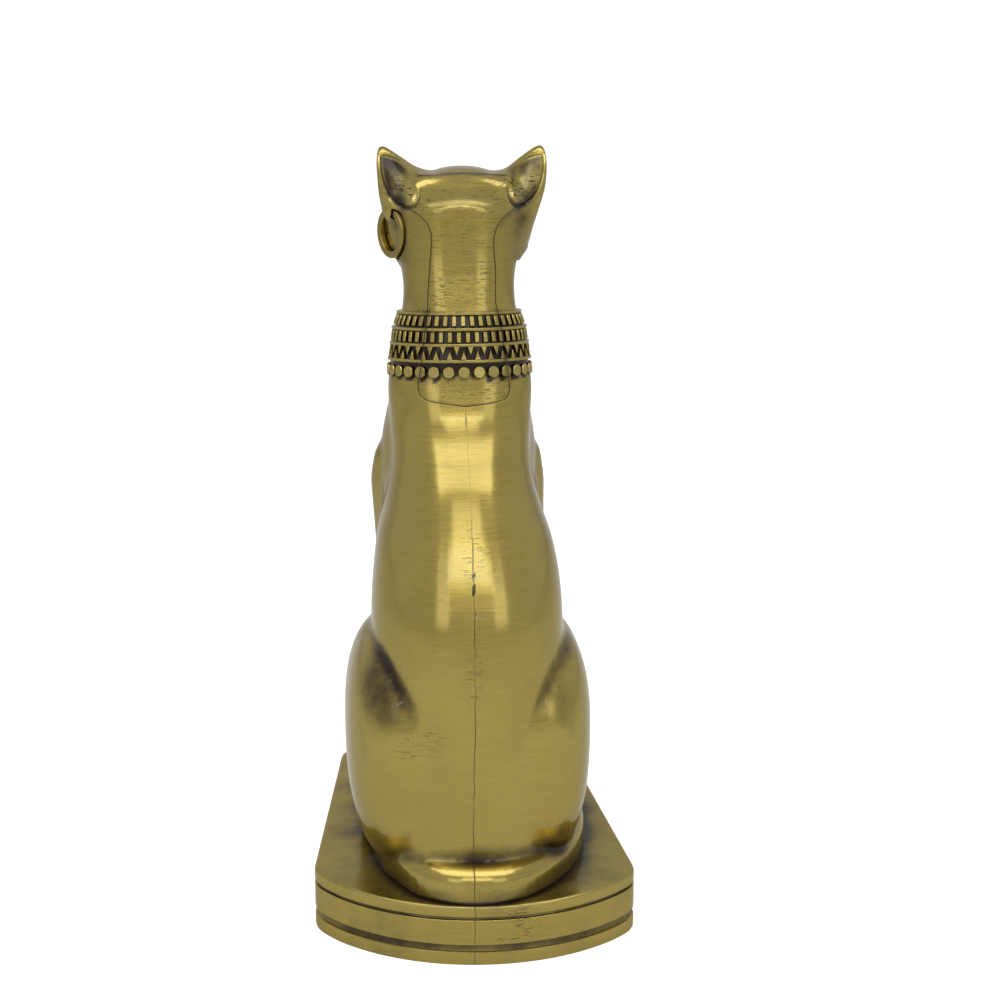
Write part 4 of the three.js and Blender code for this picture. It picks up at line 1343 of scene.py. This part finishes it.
surface = node(tree, "ShaderNodeBsdfPrincipled", {
    "Base Color": finish.outputs["Result"], "Metallic": 1, "Roughness": rough,
    "Normal": bump.outputs[0], "Anisotropic": 0.5, "Anisotropic Rotation": 0.25,
    "Tangent": grain_way.outputs[0],
    "Coat Weight": 0.65, "Coat Roughness": 0.1, "Specular Tint": colour("#CFC6A4")})
node(tree, "ShaderNodeOutputMaterial", {"Surface": surface.outputs[0]})
figure.data.materials.clear()
figure.data.materials.append(brass)
print("brass:", len(tree.nodes), "nodes")

# %% [markdown]
# ## The hoop's brass
#
# The hoop is wire rolled flat, plated in the same bath but only tumbled, not brushed. It is
# smoother, a little darker, and shows faint marks in no direction.

# %% Tumbled brass
tumbled, tree = new_material("tumbled_brass_hoop")
place = node(tree, "ShaderNodeTexCoord").outputs["Object"]
# dents of tumbling, 1.5 mm across and up to 0.05 mm high, and patina clouds, 5 mm across
dents = node(tree, "ShaderNodeTexNoise", {
    "Vector": place, "Scale": 650, "Detail": 3, "Roughness": 0.55}).outputs[0]
clouds = node(tree, "ShaderNodeTexNoise", {
    "Vector": place, "Scale": 200, "Detail": 3, "Roughness": 0.6}).outputs[0]
tint = node(tree, "ShaderNodeMix", {
    "Factor": clouds, "A": colour("#75642F"), "B": colour("#AE9C55")}, data_type="RGBA")
dented = node(tree, "ShaderNodeMath", {0: dents, 1: 0.05}, operation="MULTIPLY").outputs[0]
bump = node(tree, "ShaderNodeBump", {"Strength": 1, "Distance": MM, "Height": dented})
gloss = node(tree, "ShaderNodeMapRange", {"Value": clouds, "To Min": 0.42, "To Max": 0.28})
surface = node(tree, "ShaderNodeBsdfPrincipled", {
    "Base Color": tint.outputs["Result"], "Metallic": 1, "Roughness": gloss.outputs[0],
    "Normal": bump.outputs[0], "Coat Weight": 0.2, "Coat Roughness": 0.12})
node(tree, "ShaderNodeOutputMaterial", {"Surface": surface.outputs[0]})
earring.data.materials.clear()
earring.data.materials.append(tumbled)
print("hoop brass:", len(tree.nodes), "nodes")

# %% [markdown]
# ## The studio
#
# The cat stands on white paper in a white tent. The photograph was exposed until paper and tent
# went pure white, while the metal still mirrors them as a middle grey. Floor and tent are therefore
# brighter to the camera than to the metal. A wide soft box hangs level overhead, behind the cat's
# back: its reflection is the bright patch below the collar. A wall of the tent and a bright strip
# along it, both high behind the camera, give the second patch on the back and the arcs on head and
# tail. Two dimmer screens stand further out to the left and right.

# %% Floor
# how bright the paper glows to the camera, and the tent to the metal and to the camera
PAPER_GLOW, TENT_MIRRORED, TENT_SEEN = 0.72, 0.6, 1.05
work = bmesh.new()
bmesh.ops.create_circle(work, cap_ends=True, segments=96, radius=5)
paper_floor = to_object(work, "paper_floor")
paper, tree = new_material("white_paper")
seen = node(tree, "ShaderNodeLightPath").outputs["Is Camera Ray"]
glow = node(tree, "ShaderNodeMath", {0: seen, 1: PAPER_GLOW}, operation="MULTIPLY").outputs[0]
surface = node(tree, "ShaderNodeBsdfPrincipled", {
    "Base Color": colour("#DADAD8"), "Roughness": 0.9, "Emission Color": colour("#FFFFFF"),
    "Emission Strength": glow})
node(tree, "ShaderNodeOutputMaterial", {"Surface": surface.outputs[0]})
paper_floor.data.materials.append(paper)

# %% The tent
world = bpy.data.worlds.new("tent")
bpy.context.scene.world = world
world.use_nodes = True
tree = world.node_tree
tree.nodes.clear()
seen = node(tree, "ShaderNodeLightPath").outputs["Is Camera Ray"]
strength = node(tree, "ShaderNodeMapRange", {
    "Value": seen, "To Min": TENT_MIRRORED, "To Max": TENT_SEEN}).outputs[0]
background = node(tree, "ShaderNodeBackground", {"Color": colour("#FFFFFF"), "Strength": strength})
node(tree, "ShaderNodeOutputWorld", {"Surface": background.outputs[0]})


# %% Soft box, strip, wall and screens
# name, centre, size, the point it faces, how bright it looks
LIGHTS = [("soft_box", (0, 0.32, 0.95), (1.5, 0.62), (0, 0.32, 0), 2.0),
          ("strip", (0, 1.3, 0.82), (1.3, 0.09), (0, 0.02, 0.11), 4.2),
          ("back_wall", (0, 1.3, 1.1), (1.0, 0.42), (0, 0.02, 0.11), 1.15),
          ("screen_left", (0.76, 1.15, 0.54), (0.45, 0.5), (0, 0.03, 0.3), 0.8),
          ("screen_right", (-0.76, 1.15, 0.54), (0.45, 0.5), (0, 0.03, 0.3), 0.8)]
for name, centre, size, aim, radiance in LIGHTS:
    light = bpy.data.lights.new(name, "AREA")
    light.shape, light.size, light.size_y = "RECTANGLE", *size
    light.energy = radiance * math.pi * size[0] * size[1]
    lamp = bpy.data.objects.new(name, light)
    bpy.context.scene.collection.objects.link(lamp)
    lamp.visible_camera = False
    lamp.location = centre
    lamp.rotation_euler = (Vector(aim) - Vector(centre)).to_track_quat("-Z", "Y").to_euler()
print("lights:", ", ".join(name for name, *_ in LIGHTS))

# %% [markdown]
# ## The camera
#
# The camera stands half a metre behind the cat and a little above its shoulders, turned slightly to
# one side, as the edges of the plinth in the photograph tell.

# %% Camera
CAMERA = {"place": (0.03212, 0.50424, 0.2247), "heading": math.radians(4.59),
          "down": math.radians(14.26), "lens": 78.44}
camera = bpy.data.objects.new("camera", bpy.data.cameras.new("camera"))
bpy.context.scene.collection.objects.link(camera)
camera.location = CAMERA["place"]
level = math.cos(CAMERA["down"])
ahead = Vector((-math.sin(CAMERA["heading"]) * level, -math.cos(CAMERA["heading"]) * level,
                -math.sin(CAMERA["down"])))
camera.rotation_euler = ahead.to_track_quat("-Z", "Y").to_euler()
camera.data.lens = CAMERA["lens"]
camera.data.sensor_width = 36
camera.data.clip_start = 0.01
bpy.context.scene.camera = camera
bpy.context.scene.view_settings.view_transform = "Standard"

# %% Finish
for mesh in (bead, triangle, disc):
    bpy.data.meshes.remove(mesh)
